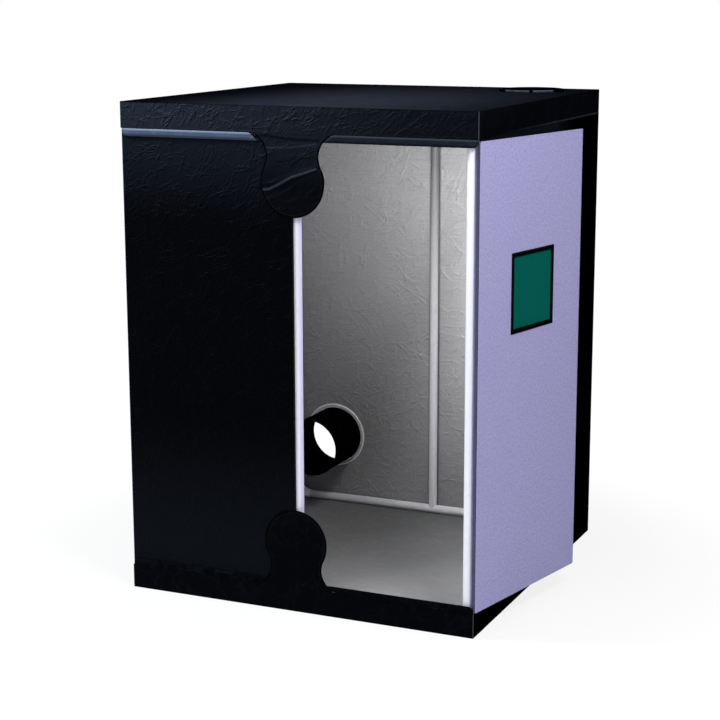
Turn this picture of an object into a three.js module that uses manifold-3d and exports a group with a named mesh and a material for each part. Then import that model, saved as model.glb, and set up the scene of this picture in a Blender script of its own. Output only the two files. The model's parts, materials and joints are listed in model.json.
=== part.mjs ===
// A free-standing tent that encloses a 3-D printer: a steel pole frame, a sewn cover with two zipped
// doors, a duct sleeve in the back wall and another in the roof, and two shaped flaps over the zip's ends.
// Millimetres. X is right, Y is back, Z is up, and the origin is the middle of the base on the ground.
// The left door is closed and the right door is swung round beside the right wall.
import * as THREE from "three";
import { mergeVertices } from "three/addons/utils/BufferGeometryUtils.js";
import Module from "manifold-3d";

const wasm = await Module();
wasm.setup();

// Driving dimensions of the whole tent
const tentWidth = 750;
const tentDepth = 750;
const tentHeight = 1000;
const shellThickness = 1;
const liningThickness = 0.7;
const seamGap = 0.3; // between pieces that are sewn or pushed together
const cutOverrun = 5; // how far a cutting shape runs past what it cuts
const mergeTolerance = 1e-4;

// Poles and their connectors
const poleDiameter = 19;
const poleWall = 0.8;
const cornerPoleInset = 18.5; // outside of the cover to a corner pole's centre line
const connectorLeg = 38;
const spigotLength = 25;
const spigotClearance = 0.3;
const webThickness = 7;

// Bands of the cover at the front, and the doors behind them
const topBandHeight = 52;
const bottomBandHeight = 49.2;
const doorRecess = 4; // how far the doors lie behind the bands
const doorTopGap = 3; // top band down to the doors' top edge
const doorBottomGap = 0.4; // bottom band up to the doors' bottom edge
const doorCentreGap = 1.2; // between the two doors when both are closed
const hingeStart = 0.5; // hinge line to the first stiff cloth of a door
const rightDoorTurn = 257.8; // degrees from closed, as it stands

// Zip
const coilWidth = 2.4;
const zipTapeThickness = 0.8;
const zipTapeDepth = 11.7;
const coilToTape = 3;
const zipFoldHeight = 2;
const coverHeight = 13.7;
const coverBottomHeight = 12.5;
const coverBulge = 5.7;
const coverRoot = 3.2;
const coverEndGap = 1.5; // corner of the tent to a zip cover's end
const coverCornerRadius = 11;
const leftCoverEnd = { atBand: 91, atOpening: 75 }; // middle of the tent to a cover's end
const rightCoverEnd = { atBand: 87.5, atOpening: 67.5 };
const sliderPlate = 0.5;
const sliderWidth = 7;
const sliderHeight = 10;
const sliderWeb = 0.6;
const sliderClearance = 0.3;
const sliderDrop = 68; // top band down to the slider's middle
const pullLength = 24;
const pullWidth = 5;
const pullThickness = 0.8;

// Flaps over the zip's ends: a bulb on a neck that flares into the band
const flapBulbRadius = 65.4;
const flapFilletRadius = 45;
const flapFilletSide = 98.5; // middle of the flap to a fillet's centre
const flapFilletDrop = 43; // band's edge to a fillet's centre
const flapThickness = 2;
const flapTipAngle = 5; // degrees of the bulb left off as a short straight tip
const flapNeckRows = 10;
const flapBulbRows = 20;
const flapColumns = 18;
const foldEndShare = 0.15; // of a fold's swell that it keeps at its ends
const hookPatchWidth = 60;
const hookPatchHeight = 42;
const hookPatchDrop = 122; // band's edge to the patch's middle
const hookPatchThickness = 1.4;
const hookPatchCorner = 8;

// Window in the right door
const windowFromHinge = 192; // hinge line to the window's middle
const windowMiddleHeight = 650;
const windowPaneSize = 138;
const windowPaneThickness = 0.8;
const windowFrameWidth = 156;
const windowFrameLip = 0.9;
const windowFrameWeb = 3;

// Duct sleeves for a 125 mm duct
const sleeveRadius = 66.4;
const sleeveCloth = 1.5;
const sleeveInside = 141; // inner face of the lining to the inner mouth
const sleeveOutsideBack = 13;
const sleeveOutsideRoof = 5;
const sleeveHemRise = 1.2;
const sleeveHemLength = 8;
const ringRadius = 76.5;
const ringThickness = 2;
const backPort = { fromLeftSide: 115, height: 162.5 };
const roofPort = { fromRightSide: 115, fromBack: 115 };

const roundSides = 24;
const holeSegments = 48;

// Places that follow from the sizes above
const poleRadius = poleDiameter / 2;
const halfWidth = tentWidth / 2;
const halfDepth = tentDepth / 2;
const coverThickness = shellThickness + seamGap + liningThickness;
const shellInnerX = halfWidth - shellThickness;
const shellInnerY = halfDepth - shellThickness;
const liningOuterX = shellInnerX - seamGap;
const liningOuterY = shellInnerY - seamGap;
const liningInnerX = halfWidth - coverThickness;
const liningInnerY = halfDepth - coverThickness;
const bottomRailZ = coverThickness + seamGap + poleRadius;
const topRailZ = tentHeight - bottomRailZ;
const poleX = halfWidth - cornerPoleInset;
const poleY = halfDepth - cornerPoleInset;
const topBandZ = tentHeight - topBandHeight;
const doorFrontY = -halfDepth + doorRecess;
const doorBackY = doorFrontY + coverThickness;
const doorTopZ = topBandZ - doorTopGap;
const doorBottomZ = bottomBandHeight + doorBottomGap;
const doorWidth = halfWidth - doorCentreGap / 2;
const backPortX = -halfWidth + backPort.fromLeftSide;
const roofPortX = halfWidth - roofPort.fromRightSide;
const roofPortY = halfDepth - roofPort.fromBack;
const portHoleRadius = sleeveRadius + seamGap;
const sleeveBore = sleeveRadius - sleeveCloth;
const flapBulbDrop =
  flapFilletDrop + Math.sqrt((flapBulbRadius + flapFilletRadius) ** 2 - flapFilletSide ** 2);

// Finishes
function finish(color, roughness, metalness = 0) {
  return new THREE.MeshStandardMaterial({ color, roughness, metalness });
}
const paintedSteel = () => finish(0xf2f1f6, 0.35, 0.1);
const whitePlastic = () => finish(0xeeedf2, 0.45);
const coatedCloth = () => finish(0x07090f, 0.38);
const reflectiveLining = () => finish(0xb9b9bd, 0.42, 0.15);
const doorLining = () => finish(0xaaa4d8, 0.5);
const zipTape = () => finish(0x0b0c10, 0.7);
const blackBinding = () => finish(0x0a0a0c, 0.6);
const sleeveCoating = () => finish(0x0c0c0e, 0.28);
const ringCloth = () => finish(0xb4b4b8, 0.5);
const hookTape = () => finish(0x101014, 0.95);
const sliderMetal = () => finish(0x2c2d31, 0.35, 0.9);

function greenFilm() {
  const film = finish(0x00604c, 0.15);
  film.transparent = true;
  film.opacity = 0.9;
  return film;
}

// Shape tools
function solidFrom(geometry) {
  const bare = geometry.index ? geometry.toNonIndexed() : geometry.clone();
  bare.deleteAttribute("normal");
  bare.deleteAttribute("uv");
  const merged = mergeVertices(bare, mergeTolerance);
  return new wasm.Manifold(
    new wasm.Mesh({
      numProp: 3,
      vertProperties: merged.attributes.position.array,
      triVerts: new Uint32Array(merged.index.array),
    }),
  );
}

function geometryFrom(solid) {
  const mesh = solid.getMesh();
  const places = new Float32Array(mesh.numVert * 3);
  for (let i = 0; i < mesh.numVert; i++) {
    places.set(mesh.vertProperties.subarray(i * mesh.numProp, i * mesh.numProp + 3), i * 3);
  }
  const geometry = new THREE.BufferGeometry();
  geometry.setAttribute("position", new THREE.BufferAttribute(places, 3));
  geometry.setIndex(new THREE.BufferAttribute(new Uint32Array(mesh.triVerts), 1));
  geometry.computeVertexNormals();
  return geometry;
}

function joined(geometries) {
  return geometries.map(solidFrom).reduce((whole, next) => whole.add(next));
}

function block(low, high) {
  const size = high.map((value, i) => value - low[i]);
  const middle = high.map((value, i) => (value + low[i]) / 2);
  return new THREE.BoxGeometry(...size).translate(...middle);
}

// A hollow or solid round bar that starts at the origin and runs along +Y
function tube(outerRadius, innerRadius, length) {
  const profile = [
    new THREE.Vector2(innerRadius, 0),
    new THREE.Vector2(outerRadius, 0),
    new THREE.Vector2(outerRadius, length),
    new THREE.Vector2(innerRadius, length),
  ];
  if (innerRadius > 0) profile.push(profile[0].clone());
  return new THREE.LatheGeometry(profile, roundSides);
}

function rectangle(lowX, highX, lowY, highY) {
  const shape = new THREE.Shape();
  shape.moveTo(lowX, lowY);
  shape.lineTo(highX, lowY);
  shape.lineTo(highX, highY);
  shape.lineTo(lowX, highY);
  shape.closePath();
  return shape;
}

function roundHole(shape, x, y, radius) {
  const hole = new THREE.Path();
  hole.absarc(x, y, radius, 0, Math.PI * 2, true);
  shape.holes.push(hole);
  return shape;
}

// A full circle in a shape gets twice as many sides as there are segments
function extruded(shape, depth, segments = holeSegments / 2) {
  return new THREE.ExtrudeGeometry(shape, { depth, bevelEnabled: false, curveSegments: segments });
}

// A sheet drawn in X and Z whose front face lies at frontY
function uprightSheet(shape, frontY, thickness, segments) {
  const geometry = extruded(shape, thickness, segments);
  return geometry.rotateX(Math.PI / 2).translate(0, frontY + thickness, 0);
}

// A profile drawn in Y and Z and run along X
function alongX(shape, lowX, highX, segments) {
  const geometry = extruded(shape, highX - lowX, segments);
  return geometry.rotateX(Math.PI / 2).rotateZ(Math.PI / 2).translate(lowX, 0, 0);
}

function addPiece(parent, name, material, geometry) {
  const mesh = new THREE.Mesh(geometry, material);
  mesh.name = name;
  parent.add(mesh);
  return mesh;
}

const tent = new THREE.Group();

// Frame: posts and rails are open tubes, pushed over the connectors' spigots
const sides = [
  { word: "left", sign: -1 },
  { word: "right", sign: 1 },
];
const ends = [
  { word: "front", sign: -1 },
  { word: "back", sign: 1 },
];
const levels = [
  { word: "bottom", sign: -1, z: bottomRailZ },
  { word: "top", sign: 1, z: topRailZ },
];

function pole(length) {
  return tube(poleRadius, poleRadius - poleWall, length).translate(0, -length / 2, 0);
}

function spigot(length) {
  return tube(poleRadius - poleWall - spigotClearance, 0, length);
}

function addCornerPosts() {
  const length = topRailZ - bottomRailZ - 2 * (connectorLeg + seamGap);
  for (const end of ends) {
    for (const side of sides) {
      const post = addPiece(tent, `corner_post_${end.word}_${side.word}`, paintedSteel(), pole(length));
      post.rotation.x = Math.PI / 2;
      post.position.set(side.sign * poleX, end.sign * poleY, (topRailZ + bottomRailZ) / 2);
    }
  }
}

// The middle posts' ends are shaped round the rails that they stand between
function addMiddlePosts() {
  const span = topRailZ - bottomRailZ;
  const saddle = () =>
    tube(poleRadius + seamGap, 0, poleDiameter + 2 * cutOverrun)
      .translate(0, -poleRadius - cutOverrun, 0)
      .rotateZ(Math.PI / 2);
  const upright = solidFrom(pole(span).rotateX(Math.PI / 2));
  const coped = upright
    .subtract(solidFrom(saddle().translate(0, 0, span / 2)))
    .subtract(solidFrom(saddle().translate(0, 0, -span / 2)));
  for (const end of ends) {
    const post = addPiece(tent, `middle_post_${end.word}`, paintedSteel(), geometryFrom(coped));
    post.position.set(0, end.sign * poleY, (topRailZ + bottomRailZ) / 2);
  }
}

// The front and back rails carry a short stub that a middle post slips over
function railWithStub(length, stubTurn) {
  const rail = pole(length).rotateZ(Math.PI / 2);
  const bore = tube(poleRadius - poleWall, 0, length + 2 * cutOverrun)
    .translate(0, -length / 2 - cutOverrun, 0)
    .rotateZ(Math.PI / 2);
  const stub = solidFrom(spigot(poleRadius + spigotLength).rotateX(stubTurn));
  return geometryFrom(solidFrom(rail).add(stub.subtract(solidFrom(bore))));
}

function addRails() {
  const long = 2 * (poleX - connectorLeg - seamGap);
  const deep = 2 * (poleY - connectorLeg - seamGap);
  for (const level of levels) {
    for (const end of ends) {
      const geometry = railWithStub(long, (-level.sign * Math.PI) / 2);
      const rail = addPiece(tent, `${level.word}_rail_${end.word}`, paintedSteel(), geometry);
      rail.position.set(0, end.sign * poleY, level.z);
    }
    for (const side of sides) {
      const rail = addPiece(tent, `${level.word}_rail_${side.word}`, paintedSteel(), pole(deep));
      rail.position.set(side.sign * poleX, 0, level.z);
    }
  }
}

// A web fills the inner corner between two legs, with a hollow round edge
function connectorWeb() {
  const shape = new THREE.Shape();
  const radius = connectorLeg - poleRadius;
  shape.moveTo(0, 0);
  shape.lineTo(connectorLeg, 0);
  shape.lineTo(connectorLeg, poleRadius);
  shape.absarc(connectorLeg, connectorLeg, radius, -Math.PI / 2, -Math.PI, true);
  shape.lineTo(0, connectorLeg);
  shape.closePath();
  return extruded(shape, webThickness, roundSides / 3).translate(0, 0, -webThickness / 2);
}

// Legs run along +X, +Y and +Z, and a block reaches out to the cover's two walls
function connectorGeometry() {
  const reach = cornerPoleInset - coverThickness - seamGap;
  const leg = () => tube(poleRadius, 0, connectorLeg);
  const pin = () => spigot(connectorLeg + spigotLength);
  return geometryFrom(
    joined([
      new THREE.SphereGeometry(poleRadius, roundSides, roundSides / 2),
      leg(),
      leg().rotateX(Math.PI / 2),
      leg().rotateZ(-Math.PI / 2),
      pin(),
      pin().rotateX(Math.PI / 2),
      pin().rotateZ(-Math.PI / 2),
      connectorWeb(),
      connectorWeb().rotateX(Math.PI / 2),
      connectorWeb().rotateY(-Math.PI / 2),
      block([-reach, -reach, -poleRadius], [0, 0, poleRadius]),
    ]),
  );
}

function addConnectors() {
  const geometry = connectorGeometry();
  for (const level of levels) {
    for (const end of ends) {
      for (const side of sides) {
        const name = `${level.word}_connector_${end.word}_${side.word}`;
        const connector = addPiece(tent, name, whitePlastic(), geometry);
        connector.scale.set(-side.sign, -end.sign, -level.sign);
        connector.position.set(side.sign * poleX, end.sign * poleY, level.z);
      }
    }
  }
}

// Cover, outside
function addRoof() {
  const outline = rectangle(-halfWidth, halfWidth, -halfDepth, halfDepth);
  roundHole(outline, roofPortX, roofPortY, portHoleRadius);
  const panel = extruded(outline, shellThickness).translate(0, 0, tentHeight - shellThickness);
  addPiece(tent, "roof_panel", coatedCloth(), panel);
}

function addTopBands() {
  const low = topBandZ;
  const high = tentHeight - shellThickness - seamGap;
  for (const side of sides) {
    const outer = [shellInnerX, halfWidth].map((x) => x * side.sign).sort((a, b) => a - b);
    const band = block([outer[0], -halfDepth, low], [outer[1], halfDepth, high]);
    addPiece(tent, `top_band_${side.word}`, coatedCloth(), band);
  }
  for (const end of ends) {
    const outer = [shellInnerY, halfDepth].map((y) => y * end.sign).sort((a, b) => a - b);
    const band = block([-liningOuterX, outer[0], low], [liningOuterX, outer[1], high]);
    addPiece(tent, `top_band_${end.word}`, coatedCloth(), band);
  }
}

function addBottomBand() {
  const low = [-liningOuterX, -halfDepth, 0];
  const high = [liningOuterX, -shellInnerY, bottomBandHeight];
  addPiece(tent, "bottom_band_front", coatedCloth(), block(low, high));
}

// A side wall steps back beside the doors, so that they can turn
function addSideWalls() {
  const top = topBandZ - seamGap;
  const stepY = doorBackY + seamGap;
  const outline = new THREE.Shape();
  outline.moveTo(-halfDepth, 0);
  outline.lineTo(halfDepth, 0);
  outline.lineTo(halfDepth, top);
  outline.lineTo(stepY, top);
  outline.lineTo(stepY, bottomBandHeight);
  outline.lineTo(-halfDepth, bottomBandHeight);
  outline.closePath();
  addPiece(tent, "left_wall", coatedCloth(), alongX(outline, -halfWidth, -shellInnerX));
  addPiece(tent, "right_wall", coatedCloth(), alongX(outline, shellInnerX, halfWidth));
}

function addBackWall() {
  const outline = rectangle(-liningOuterX, liningOuterX, 0, topBandZ - seamGap);
  roundHole(outline, backPortX, backPort.height, portHoleRadius);
  addPiece(tent, "back_wall", coatedCloth(), uprightSheet(outline, shellInnerY, shellThickness));
}

function addFloor() {
  const sheet = block([-liningOuterX, -liningOuterY, 0], [liningOuterX, liningOuterY, shellThickness]);
  addPiece(tent, "floor_sheet", coatedCloth(), sheet);
}

// Cover, inside
function addLinings() {
  const floorTop = coverThickness;
  const floorLow = shellThickness + seamGap;
  const roofLow = tentHeight - coverThickness;
  const edgeX = liningInnerX - seamGap;
  const edgeY = liningInnerY - seamGap;
  const wallFrontY = doorBackY + seamGap;
  const wallTop = roofLow - seamGap;
  const floor = block([-edgeX, -edgeY, floorLow], [edgeX, edgeY, floorTop]);
  addPiece(tent, "floor_lining", reflectiveLining(), floor);

  const roofOutline = rectangle(-liningOuterX, liningOuterX, -liningOuterY, liningOuterY);
  roundHole(roofOutline, roofPortX, roofPortY, portHoleRadius);
  const roof = extruded(roofOutline, liningThickness).translate(0, 0, roofLow);
  addPiece(tent, "roof_lining", reflectiveLining(), roof);

  for (const side of sides) {
    const across = [liningInnerX, liningOuterX].map((x) => x * side.sign).sort((a, b) => a - b);
    const wall = block([across[0], wallFrontY, floorLow], [across[1], liningOuterY, wallTop]);
    addPiece(tent, `${side.word}_wall_lining`, reflectiveLining(), wall);
  }

  const backOutline = rectangle(-edgeX, edgeX, floorLow, wallTop);
  roundHole(backOutline, backPortX, backPort.height, portHoleRadius);
  const back = uprightSheet(backOutline, liningInnerY, liningThickness);
  addPiece(tent, "back_wall_lining", reflectiveLining(), back);
}

// The zip halves that stay on the bands: a coil in the doors' plane, and a tape up behind the band
function fixedZip(doorEdgeZ, away) {
  const tapeFront = -shellInnerY + seamGap;
  const tapeBack = tapeFront + zipTapeThickness;
  const z = (distance) => doorEdgeZ + away * (seamGap + distance);
  const points = [
    [doorBackY, z(0)],
    [doorBackY, z(coilToTape + zipFoldHeight)],
    [tapeBack, z(coilToTape + zipFoldHeight)],
    [tapeBack, z(coilToTape + zipTapeDepth)],
    [tapeFront, z(coilToTape + zipTapeDepth)],
    [tapeFront, z(coilToTape)],
    [doorFrontY, z(coilToTape)],
    [doorFrontY, z(0)],
  ];
  const shape = new THREE.Shape(points.map(([y, height]) => new THREE.Vector2(y, height)));
  return alongX(shape, -liningOuterX, liningOuterX);
}

function addFixedZips() {
  addPiece(tent, "zip_top_fixed", zipTape(), fixedZip(doorTopZ, 1));
  addPiece(tent, "zip_bottom_fixed", zipTape(), fixedZip(doorBottomZ, -1));
}

// A zip cover is a padded strip sewn to a band, bulging to the front
function coverBead(height) {
  const shape = new THREE.Shape();
  shape.moveTo(0, 0);
  shape.lineTo(0, height);
  shape.lineTo(-coverRoot, height);
  shape.absellipse(-coverRoot, height / 2, coverBulge - coverRoot, height / 2, Math.PI / 2, Math.PI * 1.5);
  shape.closePath();
  return shape;
}

// Its end beside a flap is cut on a slant, and the one at the right corner is rounded
function coverOutline(side, end, height) {
  const corner = halfWidth - coverEndGap;
  const shape = new THREE.Shape();
  shape.moveTo(side * end.atBand, 0);
  shape.lineTo(side * end.atOpening, height);
  if (side > 0) {
    const middle = corner - coverCornerRadius;
    shape.lineTo(middle, height);
    shape.absarc(middle, height - coverCornerRadius, coverCornerRadius, Math.PI / 2, 0, true);
  } else {
    shape.lineTo(-corner, height);
  }
  shape.lineTo(side * corner, 0);
  shape.closePath();
  return shape;
}

function zipCover(side, end, height) {
  const bead = alongX(coverBead(height), -halfWidth, halfWidth, roundSides / 2);
  const outline = coverOutline(side, end, height);
  const cutter = uprightSheet(outline, -coverBulge - cutOverrun, coverBulge + 2 * cutOverrun, roundSides / 3);
  return geometryFrom(solidFrom(bead).intersect(solidFrom(cutter)));
}

function addZipCovers() {
  const backY = doorFrontY - seamGap;
  for (const side of sides) {
    const end = side.sign > 0 ? rightCoverEnd : leftCoverEnd;
    const top = zipCover(side.sign, end, coverHeight);
    const upper = addPiece(tent, `zip_cover_top_${side.word}`, coatedCloth(), top);
    upper.scale.z = -1;
    upper.position.set(0, backY, topBandZ - seamGap);
    const bottom = zipCover(side.sign, end, coverBottomHeight);
    const lower = addPiece(tent, `zip_cover_bottom_${side.word}`, coatedCloth(), bottom);
    lower.position.set(0, backY, bottomBandHeight + seamGap);
  }
}

// Doors, drawn from the hinge line, with the front face at Y zero. side is -1 for the left door.
function doorX(side, fromHinge) {
  return -side * fromHinge;
}

function doorPanelOutline(side, withWindow) {
  const inset = coilWidth + seamGap;
  const across = [doorX(side, hingeStart), doorX(side, doorWidth - inset)].sort((a, b) => a - b);
  const outline = rectangle(across[0], across[1], doorBottomZ + inset, doorTopZ - inset);
  if (withWindow) {
    const half = windowPaneSize / 2 + windowFrameWeb;
    const x = doorX(side, windowFromHinge);
    const z = windowMiddleHeight;
    outline.holes.push(rectangle(x - half, x + half, z - half, z + half));
  }
  return outline;
}

// The coil runs along the door's top edge, down its free edge and back along its bottom edge
function doorZip(side) {
  const near = doorX(side, hingeStart);
  const far = doorX(side, doorWidth);
  const farInner = doorX(side, doorWidth - coilWidth);
  const shape = new THREE.Shape();
  shape.moveTo(near, doorTopZ);
  shape.lineTo(far, doorTopZ);
  shape.lineTo(far, doorBottomZ);
  shape.lineTo(near, doorBottomZ);
  shape.lineTo(near, doorBottomZ + coilWidth);
  shape.lineTo(farInner, doorBottomZ + coilWidth);
  shape.lineTo(farInner, doorTopZ - coilWidth);
  shape.lineTo(near, doorTopZ - coilWidth);
  shape.closePath();
  return uprightSheet(shape, 0, coverThickness);
}

function addDoor(side, lining, withWindow) {
  const door = new THREE.Group();
  door.position.set(side.sign * halfWidth, doorFrontY, 0);
  tent.add(door);
  const outline = doorPanelOutline(side.sign, withWindow);
  const shell = uprightSheet(outline, 0, shellThickness);
  addPiece(door, `${side.word}_door_shell`, coatedCloth(), shell);
  const inner = uprightSheet(outline, shellThickness + seamGap, liningThickness);
  addPiece(door, `${side.word}_door_lining`, lining, inner);
  addPiece(door, `${side.word}_door_zip`, zipTape(), doorZip(side.sign));
  return door;
}

// The window's frame grips the door's cloth between two lips, round a web that holds the film
function squareRing(outer, inner, frontY, thickness) {
  const shape = rectangle(-outer, outer, -outer, outer);
  shape.holes.push(rectangle(-inner, inner, -inner, inner));
  return uprightSheet(shape, frontY, thickness);
}

function addWindow(door, side) {
  const inner = windowPaneSize / 2;
  const webOuter = inner + windowFrameWeb - seamGap;
  const lipOuter = windowFrameWidth / 2;
  const lipFront = -seamGap - windowFrameLip;
  const lipBack = coverThickness + seamGap;
  const depth = lipBack + windowFrameLip - lipFront;
  const frame = geometryFrom(
    joined([
      squareRing(webOuter, inner, lipFront, depth),
      squareRing(lipOuter, inner, lipFront, windowFrameLip),
      squareRing(lipOuter, inner, lipBack, windowFrameLip),
    ]),
  );
  const half = inner - seamGap;
  const frontY = (coverThickness - windowPaneThickness) / 2;
  const pane = block([-half, frontY, -half], [half, frontY + windowPaneThickness, half]);
  for (const [name, material, geometry] of [
    ["window_frame", blackBinding(), frame],
    ["window_pane", greenFilm(), pane],
  ]) {
    const piece = addPiece(door, name, material, geometry);
    piece.position.set(doorX(side, windowFromHinge), 0, windowMiddleHeight);
  }
}

// The slider sits at the top of the doors' upright zip, behind the top flap
function addSlider() {
  const back = coverThickness + sliderClearance;
  const front = -sliderClearance - sliderPlate;
  const halfSlider = sliderWidth / 2;
  const halfHeight = sliderHeight / 2;
  const plate = (y) => block([-halfSlider, y, -halfHeight], [halfSlider, y + sliderPlate, halfHeight]);
  const web = block([-sliderWeb / 2, front, -halfHeight], [sliderWeb / 2, back + sliderPlate, halfHeight]);
  const pull = block(
    [-pullWidth / 2, front - pullThickness, -halfHeight - pullLength],
    [pullWidth / 2, front, 0],
  );
  const geometry = geometryFrom(joined([plate(front), plate(back), web, pull]));
  const slider = addPiece(tent, "zip_slider", sliderMetal(), geometry);
  slider.position.set(0, doorFrontY, topBandZ - sliderDrop);
}

// Flaps. A row across the flap lies at a distance from the band's edge and has a half width.
function flapRows() {
  const tangent = Math.atan2(flapBulbDrop - flapFilletDrop, flapFilletSide);
  const tangentDrop = flapBulbDrop - flapBulbRadius * Math.sin(tangent);
  const rows = [];
  for (let i = 0; i < flapNeckRows; i++) {
    const drop = seamGap + ((tangentDrop - seamGap) * i) / flapNeckRows;
    const chord = Math.sqrt(Math.max(0, flapFilletRadius ** 2 - (drop - flapFilletDrop) ** 2));
    rows.push({ drop, half: flapFilletSide - chord });
  }
  const lastAngle = Math.PI / 2 - THREE.MathUtils.degToRad(flapTipAngle);
  for (let i = 0; i <= flapBulbRows; i++) {
    const angle = -tangent + ((lastAngle + tangent) * i) / flapBulbRows;
    const drop = flapBulbDrop + flapBulbRadius * Math.sin(angle);
    rows.push({ drop, half: flapBulbRadius * Math.cos(angle) });
  }
  return rows;
}

// A fold is a rounded ridge between two places, given across and down in shares of the bulb's radius
function foldHeight(folds, across, drop) {
  let height = 0;
  for (const fold of folds) {
    const from = new THREE.Vector2(...fold.fromShares).multiplyScalar(flapBulbRadius);
    const to = new THREE.Vector2(...fold.toShares).multiplyScalar(flapBulbRadius);
    const run = to.clone().sub(from);
    const place = new THREE.Vector2(across, drop).sub(from);
    const share = THREE.MathUtils.clamp(place.dot(run) / run.lengthSq(), 0, 1);
    const distance = place.sub(run.multiplyScalar(share)).length();
    const fade = Math.sin(Math.PI * THREE.MathUtils.lerp(foldEndShare, 1 - foldEndShare, share));
    height += fold.rise * fade * Math.exp(-((distance / fold.spread) ** 2));
  }
  return height;
}

const topFlapFolds = [
  { fromShares: [-1, 1.68], toShares: [0.85, 0.96], rise: 2.4, spread: 7 },
  { fromShares: [-0.8, 0.43], toShares: [0.85, 0.28], rise: 1.2, spread: 5 },
  { fromShares: [-0.5, 2.05], toShares: [0.5, 1.8], rise: 1, spread: 9 },
];
const bottomFlapFolds = [
  { fromShares: [-0.7, 0.92], toShares: [0.85, 1.55], rise: 2, spread: 8 },
  { fromShares: [-0.6, 1.75], toShares: [0.5, 2.05], rise: 1, spread: 9 },
];

// Two skins of quads and a rim make one closed body; its own Z runs from the band's edge to the tip
function flapGeometry(folds) {
  const rows = flapRows();
  const places = [];
  for (const thickness of [0, flapThickness]) {
    for (const row of rows) {
      for (let column = 0; column <= flapColumns; column++) {
        const across = row.half * ((2 * column) / flapColumns - 1);
        const folded = foldHeight(folds, across, row.drop);
        places.push(across, thickness - folded, row.drop);
      }
    }
  }
  const perRow = flapColumns + 1;
  const perSkin = perRow * rows.length;
  const faces = [];
  const quad = (a, b, c, d) => faces.push(a, b, c, a, c, d);
  for (let row = 0; row < rows.length - 1; row++) {
    for (let column = 0; column < flapColumns; column++) {
      const a = row * perRow + column;
      quad(a, a + 1, a + 1 + perRow, a + perRow);
      const b = a + perSkin;
      quad(b, b + perRow, b + perRow + 1, b + 1);
    }
    const left = row * perRow;
    quad(left, left + perRow, left + perRow + perSkin, left + perSkin);
    const right = left + flapColumns;
    quad(right, right + perSkin, right + perSkin + perRow, right + perRow);
  }
  for (let column = 0; column < flapColumns; column++) {
    const first = column;
    quad(first, first + perSkin, first + perSkin + 1, first + 1);
    const last = (rows.length - 1) * perRow + column;
    quad(last, last + 1, last + 1 + perSkin, last + perSkin);
  }
  const geometry = new THREE.BufferGeometry();
  geometry.setAttribute("position", new THREE.BufferAttribute(new Float32Array(places), 3));
  geometry.setIndex(faces);
  geometry.computeVertexNormals();
  return geometry;
}

function hookPatch() {
  const x = hookPatchWidth / 2 - hookPatchCorner;
  const z = hookPatchHeight / 2 - hookPatchCorner;
  const shape = new THREE.Shape();
  shape.absarc(x, z, hookPatchCorner, 0, Math.PI / 2, false);
  shape.absarc(-x, z, hookPatchCorner, Math.PI / 2, Math.PI, false);
  shape.absarc(-x, -z, hookPatchCorner, Math.PI, Math.PI * 1.5, false);
  shape.absarc(x, -z, hookPatchCorner, Math.PI * 1.5, Math.PI * 2, false);
  shape.closePath();
  return uprightSheet(shape, 0, hookPatchThickness, roundSides / 6);
}

// away is -1 for a flap that hangs down from the top band, and 1 for one that stands on the bottom band
function addFlap(word, bandZ, away, folds) {
  const flap = addPiece(tent, `${word}_flap`, coatedCloth(), flapGeometry(folds));
  flap.position.set(0, -halfDepth, bandZ);
  flap.scale.z = away;
  const patch = addPiece(tent, `${word}_flap_hook`, hookTape(), hookPatch());
  patch.position.set(0, -halfDepth + flapThickness + seamGap, bandZ + away * hookPatchDrop);
}

// Duct sleeves: a cloth tube with a hem at each mouth, drawn along its axis from the inner mouth
function sleeveGeometry(length) {
  const outer = sleeveRadius;
  const hem = sleeveRadius + sleeveHemRise;
  const profile = [
    [sleeveBore, 0],
    [hem, 0],
    [hem, sleeveHemLength],
    [outer, sleeveHemLength + sleeveHemRise],
    [outer, length],
    [sleeveBore, length],
    [sleeveBore, 0],
  ].map(([radius, along]) => new THREE.Vector2(radius, along));
  return new THREE.LatheGeometry(profile, holeSegments);
}

function ringGeometry() {
  const shape = new THREE.Shape();
  shape.absarc(0, 0, ringRadius, 0, Math.PI * 2, false);
  roundHole(shape, 0, 0, portHoleRadius);
  return uprightSheet(shape, 0, ringThickness);
}

function addPort(word, outside) {
  const port = new THREE.Group();
  const length = sleeveInside + coverThickness + outside;
  const sleeve = addPiece(port, `${word}_port_sleeve`, sleeveCoating(), sleeveGeometry(length));
  sleeve.position.y = -sleeveInside;
  const ring = addPiece(port, `${word}_port_ring`, ringCloth(), ringGeometry());
  ring.position.y = -seamGap - ringThickness;
  tent.add(port);
  return port;
}

function addPorts() {
  addPort("back", sleeveOutsideBack).position.set(backPortX, liningInnerY, backPort.height);
  const roof = addPort("roof", sleeveOutsideRoof);
  roof.rotation.x = Math.PI / 2;
  roof.position.set(roofPortX, roofPortY, tentHeight - coverThickness);
}

addCornerPosts();
addMiddlePosts();
addRails();
addConnectors();
addRoof();
addTopBands();
addBottomBand();
addSideWalls();
addBackWall();
addFloor();
addLinings();
addFixedZips();
addZipCovers();
addDoor(sides[0], reflectiveLining(), false);
const rightDoor = addDoor(sides[1], doorLining(), true);
addWindow(rightDoor, sides[1].sign);
rightDoor.rotation.z = THREE.MathUtils.degToRad(rightDoorTurn);
addSlider();
addFlap("top", topBandZ, -1, topFlapFolds);
addFlap("bottom", bottomBandHeight, 1, bottomFlapFolds);
addPorts();

export default tent;
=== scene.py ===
import json
import math

import bmesh
import bpy
import numpy as np
from mathutils import Matrix, Vector


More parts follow.
